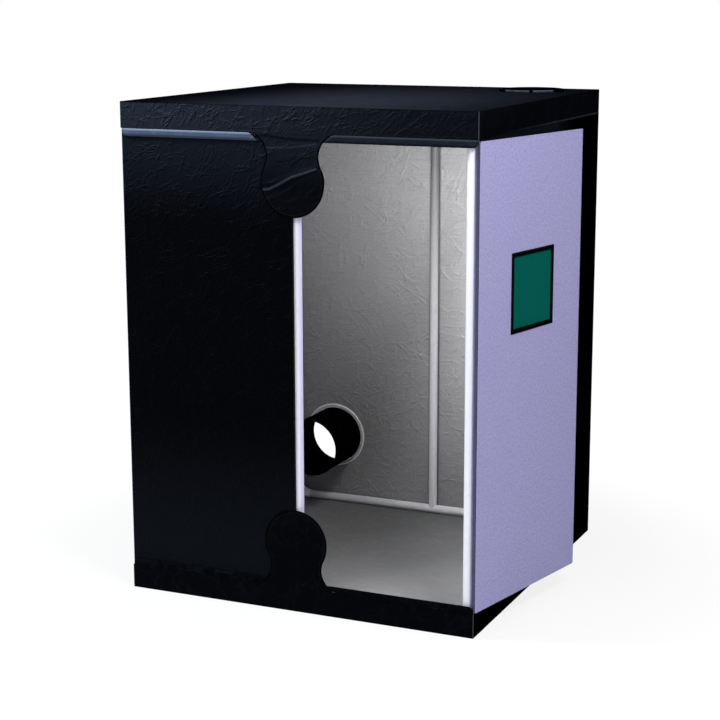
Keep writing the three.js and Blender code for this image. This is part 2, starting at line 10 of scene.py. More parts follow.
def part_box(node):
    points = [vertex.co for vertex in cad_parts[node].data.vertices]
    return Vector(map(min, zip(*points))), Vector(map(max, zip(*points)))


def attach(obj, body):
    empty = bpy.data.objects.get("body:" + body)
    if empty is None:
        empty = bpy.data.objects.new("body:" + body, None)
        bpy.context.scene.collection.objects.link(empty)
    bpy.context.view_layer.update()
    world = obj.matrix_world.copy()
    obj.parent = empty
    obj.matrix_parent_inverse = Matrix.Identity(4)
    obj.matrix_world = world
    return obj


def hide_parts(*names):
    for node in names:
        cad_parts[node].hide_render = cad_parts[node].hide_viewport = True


# A tent that encloses a 3-D printer: a pole frame, a sewn cover with two zipped doors, duct sleeves
# and two shaped flaps. Metres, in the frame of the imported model, whose front looks to -Y.
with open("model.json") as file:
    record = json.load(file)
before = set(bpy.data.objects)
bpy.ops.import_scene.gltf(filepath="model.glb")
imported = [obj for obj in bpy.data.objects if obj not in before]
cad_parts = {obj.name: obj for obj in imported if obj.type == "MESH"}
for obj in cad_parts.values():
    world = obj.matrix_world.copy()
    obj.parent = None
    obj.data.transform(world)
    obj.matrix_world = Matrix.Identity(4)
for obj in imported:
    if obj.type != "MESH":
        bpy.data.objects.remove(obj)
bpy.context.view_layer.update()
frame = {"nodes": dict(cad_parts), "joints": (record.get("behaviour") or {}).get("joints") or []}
jointOf = {joint["child"]: joint for joint in frame["joints"]}
print("frame loaded:", len(frame["nodes"]), "nodes")

mm = 0.001  # a millimetre in metres

# The camera of the photograph: place, turns about X, Y and Z in degrees, lens and sensor in millimetres
cameraLook = {"place": (1.471698, -3.347634, 1.212082), "turn": (78.077153, 0.126623, 24.103621),
              "lens": 87.5947, "sensor": 36.0}


def makeCamera(look):
    data = bpy.data.cameras.new("photoCamera")
    data.lens = look["lens"]
    data.sensor_width = look["sensor"]
    data.clip_end = 50
    camera = bpy.data.objects.new("photoCamera", data)
    camera.location = look["place"]
    camera.rotation_euler = [math.radians(turn) for turn in look["turn"]]
    bpy.context.scene.collection.objects.link(camera)
    bpy.context.scene.camera = camera


makeCamera(cameraLook)


# Mesh parts are pairs of places and faces, and several parts make one piece
def joinParts(parts):
    places, faces = [], []
    for somePlaces, someFaces in parts:
        start = len(places)
        places += [tuple(place) for place in somePlaces]
        faces += [[start + corner for corner in face] for face in someFaces]
    return places, faces


def makePiece(name, parts, material, sharp=38):
    places, faces = joinParts(parts)
    mesh = bpy.data.meshes.new(name)
    mesh.from_pydata(places, [], faces)
    work = bmesh.new()
    work.from_mesh(mesh)
    bmesh.ops.recalc_face_normals(work, faces=work.faces)
    work.to_mesh(mesh)
    work.free()
    mesh.shade_smooth()
    mesh.set_sharp_from_angle(angle=math.radians(sharp))
    mesh.materials.append(material)
    piece = bpy.data.objects.new(name, mesh)
    bpy.context.scene.collection.objects.link(piece)
    return piece


# A piece's body, and the nodes of the model that it takes the place of and hides
def dress(piece, body, slot, *nodes):
    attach(piece, body)
    if nodes:
        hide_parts(*nodes)
    return piece


def addPiece(name, parts, material, body, slot, *nodes, sharp=38):
    return dress(makePiece(name, parts, material, sharp), body, slot, *nodes)


def stations(stops, cell):
    line = [stops[0]]
    for low, high in zip(stops, stops[1:]):
        steps = max(1, round((high - low) / cell))
        line += [low + (high - low) * (i + 1) / steps for i in range(steps)]
    return np.array(line)


# Two skins of quads with rims between them; keep says which cells are cloth
def skin(outer, inner, keep=None, closed=False):
    rows, columns = outer.shape[:2]
    spans = columns if closed else columns - 1
    if keep is None:
        keep = np.ones((rows - 1, spans), bool)
    around = np.zeros((rows + 1, spans + 2), bool)
    around[1:-1, 1:-1] = keep
    if closed:
        around[:, 0] = around[:, -2]
        around[:, -1] = around[:, 1]
    behind = rows * columns
    faces = []
    for r, c in np.argwhere(keep):
        d = (c + 1) % columns
        loop = [r * columns + c, r * columns + d, (r + 1) * columns + d, (r + 1) * columns + c]
        faces.append(loop)
        faces.append([corner + behind for corner in reversed(loop)])
        beside = [around[r, c + 1], around[r + 1, c + 2], around[r + 2, c + 1], around[r + 1, c]]
        for k in range(4):
            if not beside[k]:
                p, q = loop[k], loop[(k + 1) % 4]
                faces.append([q, p, p + behind, q + behind])
    places = np.concatenate([outer.reshape(-1, 3), inner.reshape(-1, 3)])
    used = sorted({corner for face in faces for corner in face})
    number = {corner: i for i, corner in enumerate(used)}
    return places[used], [[number[corner] for corner in face] for face in faces]


# Loops of points, one after another; the last joins the first, or both ends are closed with a face
def loopStack(loops, ring=False):
    loops = [np.asarray(loop, float) for loop in loops]
    count = len(loops[0])
    faces = []
    for k in range(len(loops) if ring else len(loops) - 1):
        low, high = k * count, ((k + 1) % len(loops)) * count
        for j in range(count):
            i = (j + 1) % count
            faces.append([low + j, low + i, high + i, high + j])
    if not ring:
        faces.append(list(range(count))[::-1])
        faces.append([(len(loops) - 1) * count + j for j in range(count)])
    return np.concatenate(loops), faces


def ringAngles(count):
    return np.arange(count) * math.tau / count


def circle(radius, count, turn=0.0):
    angles = ringAngles(count) + turn
    return radius * np.cos(angles), radius * np.sin(angles)


# A section run along a line of points; the section's second axis points outward
def sweep(points, section, outward, ring=False):
    points = np.asarray(points, float)
    outward = np.asarray(outward, float)
    ahead = np.roll(points, -1, 0) - np.roll(points, 1, 0)
    if not ring:
        ahead[0] = points[1] - points[0]
        ahead[-1] = points[-1] - points[-2]
    ahead /= np.linalg.norm(ahead, axis=1)[:, None]
    loops = []
    for point, way in zip(points, ahead):
        side = np.cross(way, outward)
        side /= np.linalg.norm(side)
        over = np.cross(side, way)
        loops.append([point + side * a + over * b for a, b in section])
    return loopStack(loops, ring)


def oval(across, out, count=10):
    x, y = circle(1, count, math.pi / count)
    return list(zip(x * across, y * out))


# Small rounded lumps along a line, for stitches and for the teeth of a zip
def beads(points, outward, pitch, size, lift=0.0, closed=False, ends=0.0):
    points = np.asarray(points, float)
    if closed:
        points = np.vstack([points, points[:1]])
    outward = np.asarray(outward, float)
    steps = np.linalg.norm(np.diff(points, axis=0), axis=1)
    run = np.concatenate([[0], np.cumsum(steps)])
    total = run[-1] - 2 * ends
    count = max(1, int(total / pitch))
    spots = ends + (np.arange(count) + 0.5) * total / count
    knot = [(-0.5, 0.0), (-0.36, 0.75), (0.0, 1.0), (0.36, 0.75), (0.5, 0.0)]  # place along, and girth
    ringX, ringY = circle(0.5, 6)
    places, faces = [], []
    for spot in spots:
        k = min(int(np.searchsorted(run, spot, "right")) - 1, len(steps) - 1)
        way = (points[k + 1] - points[k]) / steps[k]
        middle = points[k] + way * (spot - run[k])
        side = np.cross(way, outward)
        side /= np.linalg.norm(side)
        over = np.cross(side, way)
        middle = middle + over * lift
        start = len(places)
        places.append(middle + way * knot[0][0] * size[0])
        for along, girth in knot[1:-1]:
            for x, y in zip(ringX, ringY):
                places.append(middle + way * along * size[0] + side * x * girth * size[1]
                              + over * y * girth * size[2])
        places.append(middle + way * knot[-1][0] * size[0])
        last = len(places) - 1
        for j in range(6):
            i = (j + 1) % 6
            faces.append([start, start + 1 + i, start + 1 + j])
            for level in (0, 6):
                a = start + 1 + level
                faces.append([a + j, a + i, a + 6 + i, a + 6 + j])
            faces.append([last, last - 6 + j, last - 6 + i])
    return places, faces


# Pitch, length, width and height of stitches, teeth and hooks, in millimetres
beadSizes = {"doorTeeth": (1.7, 1.15, 2.064, 1.9), "bandTeeth": (1.7, 1.15, 2.6, 2.5),
             "hook": (1.9, 0.8, 0.5, 1.2), "window": (3.2, 2.3, 0.55, 0.4), "flap": (3.4, 2.4, 0.5, 0.4),
             "cover": (3.6, 2.5, 0.5, 0.4), "sleeve": (3.0, 2.2, 0.5, 0.4), "wall": (3.6, 2.5, 0.5, 0.25),
             "jamb": (4.0, 2.6, 1.0, 0.5), "band": (3.6, 2.4, 0.45, 0.35)}


def beadRow(kind, points, outward, **options):
    pitch, *size = [value * mm for value in beadSizes[kind]]
    return beads(points, outward, pitch, size, **options)


# A box with rounded edges
def softBox(low, high, radius, segments=2):
    work = bmesh.new()
    bmesh.ops.create_cube(work, size=1)
    low, high = Vector(low), Vector(high)
    for vert in work.verts:
        vert.co = Vector([(low[k] + high[k]) / 2 + vert.co[k] * (high[k] - low[k]) for k in range(3)])
    bmesh.ops.bevel(work, geom=work.edges[:], offset=radius, segments=segments, affect="EDGES", profile=0.5)
    work.verts.index_update()
    places = [tuple(vert.co) for vert in work.verts]
    faces = [[vert.index for vert in face.verts] for face in work.faces]
    work.free()
    return places, faces


def moved(part, matrix):
    return [tuple(matrix @ Vector(place)) for place in part[0]], part[1]


# A rectangle with round corners, as places across and up from its middle
def roundedLoop(halfAcross, halfUp, corner, steps):
    points = []
    for quarter, (x, z) in enumerate(((1, 1), (-1, 1), (-1, -1), (1, -1))):
        for k in range(steps + 1):
            angle = math.pi / 2 * (quarter + k / steps)
            points.append((x * (halfAcross - corner) + corner * math.cos(angle),
                           z * (halfUp - corner) + corner * math.sin(angle)))
    return np.array(points)


# Relief of the cloth: soft swells, and creases of random length and direction
def swells(u, v, seed, length, count=9):
    chance = np.random.default_rng(seed)
    height = np.zeros_like(u)
    for turn, shift, stretch in zip(chance.uniform(0, math.tau, count), chance.uniform(0, math.tau, count),
                                    chance.uniform(0.6, 1.7, count)):
        height += np.sin((u * math.cos(turn) + v * math.sin(turn)) * math.tau / (length * stretch) + shift)
    return 0.5 + 0.5 * np.clip(height / math.sqrt(count) / 1.6, -1, 1)


def creases(u, v, seed, count, length, width):
    chance = np.random.default_rng(seed)
    height = np.zeros_like(u)
    for _ in range(count):
        middleU = chance.uniform(u.min(), u.max())
        middleV = chance.uniform(v.min(), v.max())
        turn = chance.normal(0.75, 0.5) if chance.uniform() < 0.6 else chance.uniform(0, math.pi)
        half = length * chance.uniform(0.4, 1.3) / 2
        thin = width * chance.uniform(0.7, 1.5)
        rise = chance.uniform(0.4, 1)
        bend = chance.normal(0, 2.5)
        along = (u - middleU) * math.cos(turn) + (v - middleV) * math.sin(turn)
        aside = (v - middleV) * math.cos(turn) - (u - middleU) * math.sin(turn) + bend * along ** 2
        height = np.maximum(height, rise * np.exp(-(along / half) ** 2 - (aside / thin) ** 2))
    return height


def edgeFade(u, v, margin):
    near = np.minimum.reduce([u - u.min(), u.max() - u, v - v.min(), v.max() - v])
    share = np.clip(near / margin, 0, 1)
    return share * share * (3 - 2 * share)


def clothRelief(u, v, look):
    height = look["swell"] * swells(u, v, look["seed"], look["swellLength"])
    height = height + look["crease"] * creases(u, v, look["seed"] + 1, look["creases"], look["creaseLength"],
                                               look["creaseWidth"])
    return height * edgeFade(u, v, look["margin"])


# Shader tools
def addNode(tree, kind, links=None, values=None, **settings):
    made = tree.nodes.new(kind)
    for word, value in settings.items():
        setattr(made, word, value)
    for socket, value in (values or {}).items():
        made.inputs[socket].default_value = value
    for socket, source in (links or {}).items():
        tree.links.new(source, made.inputs[socket])
    return made


def maths(tree, operation, first, second=0.0, clamp=False):
    made = addNode(tree, "ShaderNodeMath", operation=operation, use_clamp=clamp)
    for i, value in enumerate((first, second)):
        if isinstance(value, (int, float)):
            made.inputs[i].default_value = value
        else:
            tree.links.new(value, made.inputs[i])
    return made.outputs[0]


def blendColors(tree, share, first, second):
    made = addNode(tree, "ShaderNodeMix", {"Factor": share}, data_type="RGBA")
    for socket, value in ((6, first), (7, second)):
        if isinstance(value, tuple):
            made.inputs[socket].default_value = (*value, 1)
        else:
            tree.links.new(value, made.inputs[socket])
    return made.outputs[2]


def remap(tree, source, low, high, toLow=0.0, toHigh=1.0):
    made = addNode(tree, "ShaderNodeMapRange", {"Value": source}, interpolation_type="SMOOTHSTEP")
    for socket, value in (("From Min", low), ("From Max", high), ("To Min", toLow), ("To Max", toHigh)):
        made.inputs[socket].default_value = value
    return made.outputs[0]


def noise(tree, place, scale, detail, roughness=0.5):
    return addNode(tree, "ShaderNodeTexNoise", {"Vector": place},
                   {"Scale": scale, "Detail": detail, "Roughness": roughness})


def scaledBy(tree, vector, scale):
    made = addNode(tree, "ShaderNodeVectorMath", {0: vector}, operation="SCALE")
    if isinstance(scale, float):
        made.inputs["Scale"].default_value = scale
    else:
        tree.links.new(scale, made.inputs["Scale"])
    return made.outputs[0]


def distanceAlong(tree, place, way):
    made = addNode(tree, "ShaderNodeVectorMath", {0: place}, {1: way}, operation="DOT_PRODUCT")
    return made.outputs["Value"]


# Links to the shader's sockets; an underscore stands for a space in a socket's name
def feed(tree, shader, **sources):
    for word, source in sources.items():
        tree.links.new(source, shader.inputs[word.replace("_", " ")])


def newGroup(name, inputs, outputs):
    tree = bpy.data.node_groups.new(name, "ShaderNodeTree")
    for word, kind, value in inputs:
        socket = tree.interface.new_socket(word, in_out="INPUT", socket_type=kind)
        if value is not None:
            socket.default_value = value
    for word in outputs:
        tree.interface.new_socket(word, in_out="OUTPUT", socket_type="NodeSocketFloat")
    return tree, addNode(tree, "NodeGroupInput"), addNode(tree, "NodeGroupOutput")


# Straight ridged streaks in several directions, as in crumpled coated cloth
def makeCrinkleGroup():
    tree, given, result = newGroup("crinkle", [("Vector", "NodeSocketVector", None),
                                               ("Size", "NodeSocketFloat", 0.01)], ["Height", "Mask"])
    inverse = maths(tree, "DIVIDE", 1.0, given.outputs["Size"])
    scaled = scaledBy(tree, given.outputs["Vector"], inverse)
    push = scaledBy(tree, noise(tree, scaled, 0.3, 2.0).outputs["Color"], 0.6)
    warped = addNode(tree, "ShaderNodeVectorMath", {0: scaled, 1: push}, operation="ADD").outputs[0]
    height = 0.0
    # Each set of streaks has its turn in degrees and a place apart
    for turn, shift in ((33, 3.1), (52, 11.7), (12, 23.9), (80, 37.3), (140, 51.9)):
        along = addNode(tree, "ShaderNodeMapping", {"Vector": warped},
                        {"Location": (shift, shift * 0.7, 0), "Rotation": (0, 0, math.radians(turn)),
                         "Scale": (3.2, 1, 1)}, vector_type="TEXTURE").outputs[0]
        streak = noise(tree, along, 0.7, 1.0, 0.4)
        away = maths(tree, "ABSOLUTE", maths(tree, "SUBTRACT", streak.outputs[0], 0.5))
        ridge = remap(tree, away, 0.0, 0.075, 1.0, 0.0)
        patch = noise(tree, along, 0.4, 1.0)
        layer = maths(tree, "MULTIPLY", ridge, remap(tree, patch.outputs[0], 0.52, 0.64))
        height = maths(tree, "ADD", layer, height)
    tree.links.new(height, result.inputs["Height"])
    tree.links.new(maths(tree, "MULTIPLY", height, 0.6, clamp=True), result.inputs["Mask"])
    return tree


# Fine grain for bumps, and a slow drift of tone
def makeGrainGroup():
    tree, given, result = newGroup("grain", [("Vector", "NodeSocketVector", None),
                                             ("Size", "NodeSocketFloat", 0.001)], ["Height", "Drift"])
    inverse = maths(tree, "DIVIDE", 1.0, given.outputs["Size"])
    fine = addNode(tree, "ShaderNodeTexNoise", {"Vector": given.outputs["Vector"], "Scale": inverse},
                   {"Detail": 3.0, "Roughness": 0.6})
    slow = noise(tree, given.outputs["Vector"], 5.0, 3.0)
    tree.links.new(fine.outputs[0], result.inputs["Height"])
    tree.links.new(remap(tree, slow.outputs[0], 0.3, 0.7), result.inputs["Drift"])
    return tree


# Crossing threads
def makeWeaveGroup():
    tree, given, result = newGroup("weave", [("Vector", "NodeSocketVector", None),
                                             ("Thread", "NodeSocketFloat", 0.0006)], ["Height"])
    inverse = maths(tree, "DIVIDE", 1.0, given.outputs["Thread"])
    scaled = scaledBy(tree, given.outputs["Vector"], inverse)
    split = addNode(tree, "ShaderNodeSeparateXYZ", {"Vector": scaled})
    waves = [maths(tree, "SINE", maths(tree, "MULTIPLY", split.outputs[k], math.pi)) for k in range(3)]
    level, upright = maths(tree, "ADD", waves[0], waves[1]), maths(tree, "ADD", waves[2], 1.0)
    crossed = maths(tree, "MULTIPLY", level, upright)
    tree.links.new(maths(tree, "MULTIPLY_ADD", crossed, 0.25), result.inputs["Height"])
    return tree


crinkle, grain, weave = makeCrinkleGroup(), makeGrainGroup(), makeWeaveGroup()
openTurn = -jointOf["right_door"]["range_deg"][0]  # degrees from closed to where the right door stands


# Where a point lies in the plane of its cloth, in metres
def clothPlace(tree, plane):
    place = addNode(tree, "ShaderNodeTexCoord").outputs["Object"]
    if plane == "round":
        return place
    if plane == "door":
        turned = addNode(tree, "ShaderNodeMapping", {"Vector": place},
                         {"Rotation": (0, 0, -math.radians(openTurn + 180))})
        place = turned.outputs[0]
    split = addNode(tree, "ShaderNodeSeparateXYZ", {"Vector": place})
    words = {"front": "XZ", "side": "YZ", "flat": "XY", "door": "XZ"}[plane]
    both = {"X": split.outputs[words[0]], "Y": split.outputs[words[1]]}
    return addNode(tree, "ShaderNodeCombineXYZ", both).outputs[0]


def placed(tree, group, place, **values):
    made = addNode(tree, "ShaderNodeGroup", node_tree=group)
    tree.links.new(place, made.inputs["Vector"])
    for word, value in values.items():
        made.inputs[word].default_value = value
    return made


def bump(tree, height, rise, before=None):
    made = addNode(tree, "ShaderNodeBump", {"Height": height}, {"Strength": 1.0, "Distance": rise})
    if before is not None:
        tree.links.new(before, made.inputs["Normal"])
    return made.outputs[0]


# Fine grain on top of a larger relief
def twoBumps(tree, height, rise, fineHeight, fineRise):
    return bump(tree, fineHeight, fineRise, bump(tree, height, rise))


def newMaterial(name, **constants):
    material = bpy.data.materials.new(name)
    material.use_nodes = True
    tree = material.node_tree
    shader = tree.nodes["Principled BSDF"]
    for word, value in constants.items():
        socket = shader.inputs[word.replace("_", " ")]
        socket.default_value = (*value, 1) if isinstance(value, tuple) else value
    return material, tree, shader


# Coated black cloth: a dark ground with ridges painted paler and made smoother, a painted highlight on its
# crinkles. A fade is painted shade: it lies between two places along an axis of the cloth and turns it deep
# black towards the first one, where a share of its own tone is left. Lines are painted highlights and painted
# shade, on folds and elsewhere: points, half width, colour and strength.
shellLook = {"dark": (0.0015, 0.0018, 0.0028), "pale": (0.01, 0.013, 0.022), "crinkleSize": 0.011,
             "crinkleRise": 0.0009, "grainSize": 0.0007, "grainRise": 0.00005, "roughness": (0.5, 0.36),
             "gloss": 0.05, "tint": (0.5, 0.68, 1.0), "deep": (0.0004, 0.0004, 0.0006), "fade": None,
             "lines": (), "emboss": 0.0, "ground": 0.4, "towardLight": (-0.0005, 0.0009, 0)}
shadeTone = (0.02, 0.02, 0.021)  # painted shade: what pale surfaces fade to


# How near a place is to a line through points of the cloth: 1 on it, 0 beyond its half width
def lineMask(tree, place, points, half):
    nearest = 1.0
    for start, end in zip(points, points[1:]):
        run = Vector((*end, 0)) - Vector((*start, 0))
        away = addNode(tree, "ShaderNodeVectorMath", {0: place}, {1: (*start, 0)},
                       operation="SUBTRACT").outputs[0]
        along = distanceAlong(tree, away, run / run.length_squared)
        held = addNode(tree, "ShaderNodeClamp", {0: along})
        foot = addNode(tree, "ShaderNodeVectorMath", {"Scale": held.outputs[0]}, {0: run}, operation="SCALE")
        gap = addNode(tree, "ShaderNodeVectorMath", {0: away, 1: foot.outputs[0]}, operation="DISTANCE")
        nearest = maths(tree, "MINIMUM", gap.outputs["Value"], nearest)
    return remap(tree, nearest, 0.0, half, 1.0, 0.0)


def drawLines(tree, place, tone, lines):
    for points, half, color, strength in lines:
        share = maths(tree, "MULTIPLY", lineMask(tree, place, points, half), strength)
        tone = blendColors(tree, share, tone, color)
    return tone


def shellCloth(name, plane, **changes):
    look = {**shellLook, **changes}
    material, tree, shader = newMaterial(name, Specular_IOR_Level=look["gloss"], Specular_Tint=look["tint"])
    place = clothPlace(tree, plane)
    folds = placed(tree, crinkle, place, Size=look["crinkleSize"])
    small = placed(tree, crinkle, place, Size=look["crinkleSize"] * 0.45)
    fine = placed(tree, grain, place, Size=look["grainSize"])
    lesser = maths(tree, "MULTIPLY", small.outputs["Height"], 0.3)
    height = maths(tree, "ADD", folds.outputs["Height"], lesser)
    patchy = maths(tree, "ADD", fine.outputs["Drift"], 0.35)
    mask = maths(tree, "MULTIPLY", folds.outputs["Mask"], patchy, clamp=True)
    share = mask
    if look["emboss"]:  # painted light on the side of each ridge that faces up towards the light, painted shade on the other
        beside = addNode(tree, "ShaderNodeVectorMath", {0: place}, {1: look["towardLight"]}, operation="ADD")
        upper = placed(tree, crinkle, beside.outputs[0], Size=look["crinkleSize"])
        slope = maths(tree, "SUBTRACT", folds.outputs["Height"], upper.outputs["Height"])
        depth = maths(tree, "MULTIPLY", maths(tree, "ADD", fine.outputs["Drift"], 0.45), look["emboss"])
        share = maths(tree, "ADD", maths(tree, "MULTIPLY", slope, depth), look["ground"], clamp=True)
    tone = blendColors(tree, share, look["dark"], look["pale"])
    if look["fade"]:
        axis, start, end, least = look["fade"]
        level = addNode(tree, "ShaderNodeSeparateXYZ", {"Vector": place}).outputs[axis]
        tone = blendColors(tree, remap(tree, level, start, end, least, 1.0), look["deep"], tone)
    feed(tree, shader, Base_Color=drawLines(tree, place, tone, look["lines"]),
         Roughness=remap(tree, mask, 0.0, 1.0, *look["roughness"]),
         Normal=twoBumps(tree, height, look["crinkleRise"], fine.outputs["Height"], look["grainRise"]))
    return material


# Grey-white reflective film with crinkles and fine level streaks. A fade is painted shade: it darkens the
# film against a direction, from one distance along it to another, down to a share.
liningLook = {"dark": (0.42, 0.42, 0.43), "pale": (0.64, 0.64, 0.65), "crinkleSize": 0.007,
              "crinkleRise": 0.0006, "grainSize": 0.0009, "grainRise": 0.00006, "roughness": (0.55, 0.42),
              "fades": (), "lines": ()}


def liningFilm(name, plane, **changes):
    look = {**liningLook, **changes}
    material, tree, shader = newMaterial(name, Specular_IOR_Level=0.35, Metallic=0.12)
    place = clothPlace(tree, plane)
    folds = placed(tree, crinkle, place, Size=look["crinkleSize"])
    coarse = placed(tree, crinkle, place, Size=look["crinkleSize"] * 2.2)
    fine = placed(tree, grain, place, Size=look["grainSize"])
    level = addNode(tree, "ShaderNodeMapping", {"Vector": place}, {"Scale": (14, 420, 1)})
    streaks = noise(tree, level.outputs[0], 1.0, 2.0)
    larger = maths(tree, "MULTIPLY", coarse.outputs["Height"], 1.2)
    height = maths(tree, "ADD", folds.outputs["Height"], larger)
    tone = 0.0
    for source, strength in ((folds.outputs["Mask"], 0.06), (streaks.outputs[0], 0.85),
                             (fine.outputs["Drift"], 0.15)):
        tone = maths(tree, "ADD", maths(tree, "MULTIPLY", source, strength), tone, clamp=True)
    tone = drawLines(tree, place, blendColors(tree, tone, look["dark"], look["pale"]), look["lines"])
    for way, start, end, least in look["fades"]:
        share = remap(tree, distanceAlong(tree, place, (*way, 0)), start, end, least, 1.0)
        tone = blendColors(tree, share, shadeTone, tone)
    feed(tree, shader, Base_Color=tone,
         Roughness=remap(tree, folds.outputs["Mask"], 0.0, 1.0, *look["roughness"]),
         Normal=twoBumps(tree, height, look["crinkleRise"], fine.outputs["Height"], look["grainRise"]))
    return material


# The open door's lilac lining, with a fine grain
lilacLook = {"dark": (0.26, 0.245, 0.45), "pale": (0.43, 0.41, 0.7), "grainSize": 0.0016, "grainRise": 0.0001,
             "speckSize": 0.005, "crinkleSize": 0.02, "crinkleRise": 0.00025, "roughness": 0.6, "gloss": 0.2}


def doorFilm(name, plane):
    look = lilacLook
    material, tree, shader = newMaterial(name, Specular_IOR_Level=look["gloss"], Roughness=look["roughness"])
    place = clothPlace(tree, plane)
    fine = placed(tree, grain, place, Size=look["grainSize"])
    speck = placed(tree, grain, place, Size=look["speckSize"])
    folds = placed(tree, crinkle, place, Size=look["crinkleSize"])
    tone = maths(tree, "ADD", maths(tree, "MULTIPLY", remap(tree, fine.outputs["Height"], 0.3, 0.7), 0.55),
                 maths(tree, "MULTIPLY", remap(tree, speck.outputs["Height"], 0.3, 0.7), 0.45))
    feed(tree, shader, Base_Color=blendColors(tree, tone, look["dark"], look["pale"]),
         Normal=twoBumps(tree, folds.outputs["Height"], look["crinkleRise"], fine.outputs["Height"],
                         look["grainRise"]))
    return material


# Powder coat or moulded plastic: a pale surface with fine orange peel and a little grime. A fade is painted
# shade: it goes along a direction, from one distance to another, and from one share of the tone to another.
def paleCoat(name, clean, soiled, roughness, peel, fades=(), rightFacingShade=None):
    material, tree, shader = newMaterial(name, Specular_IOR_Level=0.45)
    place = clothPlace(tree, "round")
    skinGrain = placed(tree, grain, place, Size=peel)
    soil = remap(tree, noise(tree, place, 60.0, 5.0).outputs[0], 0.56, 0.74)
    tone = blendColors(tree, soil, clean, soiled)
    if rightFacingShade:  # painted shade: a lilac tint where the coat faces right
        facing = addNode(tree, "ShaderNodeTexCoord").outputs["Normal"]
        across = addNode(tree, "ShaderNodeSeparateXYZ", {"Vector": facing}).outputs["X"]
        tone = blendColors(tree, remap(tree, across, 0.38, 0.8), tone, rightFacingShade)
    for way, *reach in fades:
        tone = blendColors(tree, remap(tree, distanceAlong(tree, place, way), *reach), shadeTone, tone)
    feed(tree, shader, Base_Color=tone, Normal=bump(tree, skinGrain.outputs["Height"], 0.00008),
         Roughness=remap(tree, skinGrain.outputs["Drift"], 0.0, 1.0, roughness, roughness + 0.12))
    return material


# Woven tape, binding, hook tape and thread
def tapeCloth(name, dark, pale, thread, rise, roughness=0.75, gloss=0.015):
    material, tree, shader = newMaterial(name, Specular_IOR_Level=gloss, Roughness=roughness)
    place = clothPlace(tree, "round")
    threads = placed(tree, weave, place, Thread=thread)
    fuzz = placed(tree, grain, place, Size=thread * 1.7)
    tone = maths(tree, "ADD", maths(tree, "MULTIPLY", threads.outputs["Height"], 0.6),
                 maths(tree, "MULTIPLY", fuzz.outputs["Height"], 0.6), clamp=True)
    feed(tree, shader, Base_Color=blendColors(tree, tone, dark, pale),
         Normal=twoBumps(tree, threads.outputs["Height"], rise, fuzz.outputs["Height"], rise / 2))
    return material


# Dark green film that shows a little of what is behind it
paneLook = {"clean": (0.0002, 0.1, 0.08), "dusty": (0.001, 0.12, 0.095), "dustSize": 0.0012,
            "roughness": (0.14, 0.3), "opacity": (0.95, 0.975), "sagScale": 16.0, "sagRise": 0.0008,
            "gloss": 0.003}


def windowFilm(name):
    look = paneLook
    material, tree, shader = newMaterial(name, Specular_IOR_Level=look["gloss"])
    place = clothPlace(tree, "door")
    sag = noise(tree, place, look["sagScale"], 2.0).outputs[0]
    dust = placed(tree, grain, place, Size=look["dustSize"])
    specks = remap(tree, dust.outputs["Height"], 0.5, 0.8)
    feed(tree, shader, Base_Color=blendColors(tree, specks, look["clean"], look["dusty"]),
         Roughness=remap(tree, specks, 0.0, 1.0, *look["roughness"]),
         Alpha=remap(tree, sag, 0.3, 0.7, *look["opacity"]), Normal=bump(tree, sag, look["sagRise"]))
    return material


# Dark plating, brushed upwards and worn pale in places
metalLook = {"plating": (0.05, 0.052, 0.058), "worn": (0.2, 0.2, 0.21), "wornSize": 0.003,
             "roughness": (0.28, 0.46), "brushScale": (2600, 2600, 180), "brushRise": 0.00003}


def darkMetal(name):
    look = metalLook
    material, tree, shader = newMaterial(name, Metallic=1.0)
    place = clothPlace(tree, "round")
    brushed = addNode(tree, "ShaderNodeMapping", {"Vector": place}, {"Scale": look["brushScale"]})
    lines = noise(tree, brushed.outputs[0], 1.0, 2.0).outputs[0]
    worn = placed(tree, grain, place, Size=look["wornSize"])
    share = remap(tree, worn.outputs["Height"], 0.52, 0.7)
    feed(tree, shader, Base_Color=blendColors(tree, share, look["plating"], look["worn"]),
         Roughness=remap(tree, lines, 0.3, 0.7, *look["roughness"]),
         Normal=bump(tree, lines, look["brushRise"]))
    return material


# Folds of the flaps in the cloth's own plane, across and up: painted highlights on the ridges, painted shade
# in the grooves
ridgeHighlight, grooveShade = (0.12, 0.13, 0.175), (0.0006, 0.0008, 0.0012)
topFlapLines = [([(-0.062, 0.8365), (-0.049, 0.8375), (-0.03, 0.846), (0.0, 0.862), (0.022, 0.869),
                  (0.05, 0.8785)], 0.0045, grooveShade, 0.9),
                ([(-0.064, 0.840), (-0.049, 0.8418), (-0.0315, 0.850), (0.0, 0.8664), (0.021, 0.873),
                  (0.049, 0.883)], 0.004, ridgeHighlight, 0.28),
                ([(-0.055, 0.822), (-0.03, 0.832), (0.0, 0.848)], 0.004, ridgeHighlight, 0.02),
                ([(-0.052, 0.9198), (0.0, 0.922), (0.051, 0.9299)], 0.0034, ridgeHighlight, 0.1),
                ([(-0.0645, 0.943), (0.01, 0.9368), (0.0553, 0.9375)], 0.0045, grooveShade, 0.85),
                ([(-0.03, 0.893), (0.045, 0.905)], 0.006, grooveShade, 0.5)]
lowFlapLines = [([(-0.043, 0.1157), (0.050, 0.1559)], 0.007, grooveShade, 0.9)]
# Painted light: a closed door is paler again near its foot
doorFootLight = [([(-1.0, 0.1), (1.0, 0.1)], 0.3, (0.0045, 0.0054, 0.0078), 0.85)]
# Painted shade: the right wall is deep black along its foot
rightShades = [([(-0.5, 0.0), (0.5, 0.0)], 0.16, (0.0003, 0.0003, 0.0004), 1.0)]
# Painted shade: the roof darkens towards its right and its back
roofShades = [([(0.5, -0.5), (0.5, 0.5)], 0.42, (0.0015, 0.0018, 0.0026), 0.95),
              ([(-0.5, 0.5), (0.5, 0.5)], 0.7, (0.0015, 0.0018, 0.0026), 0.9)]


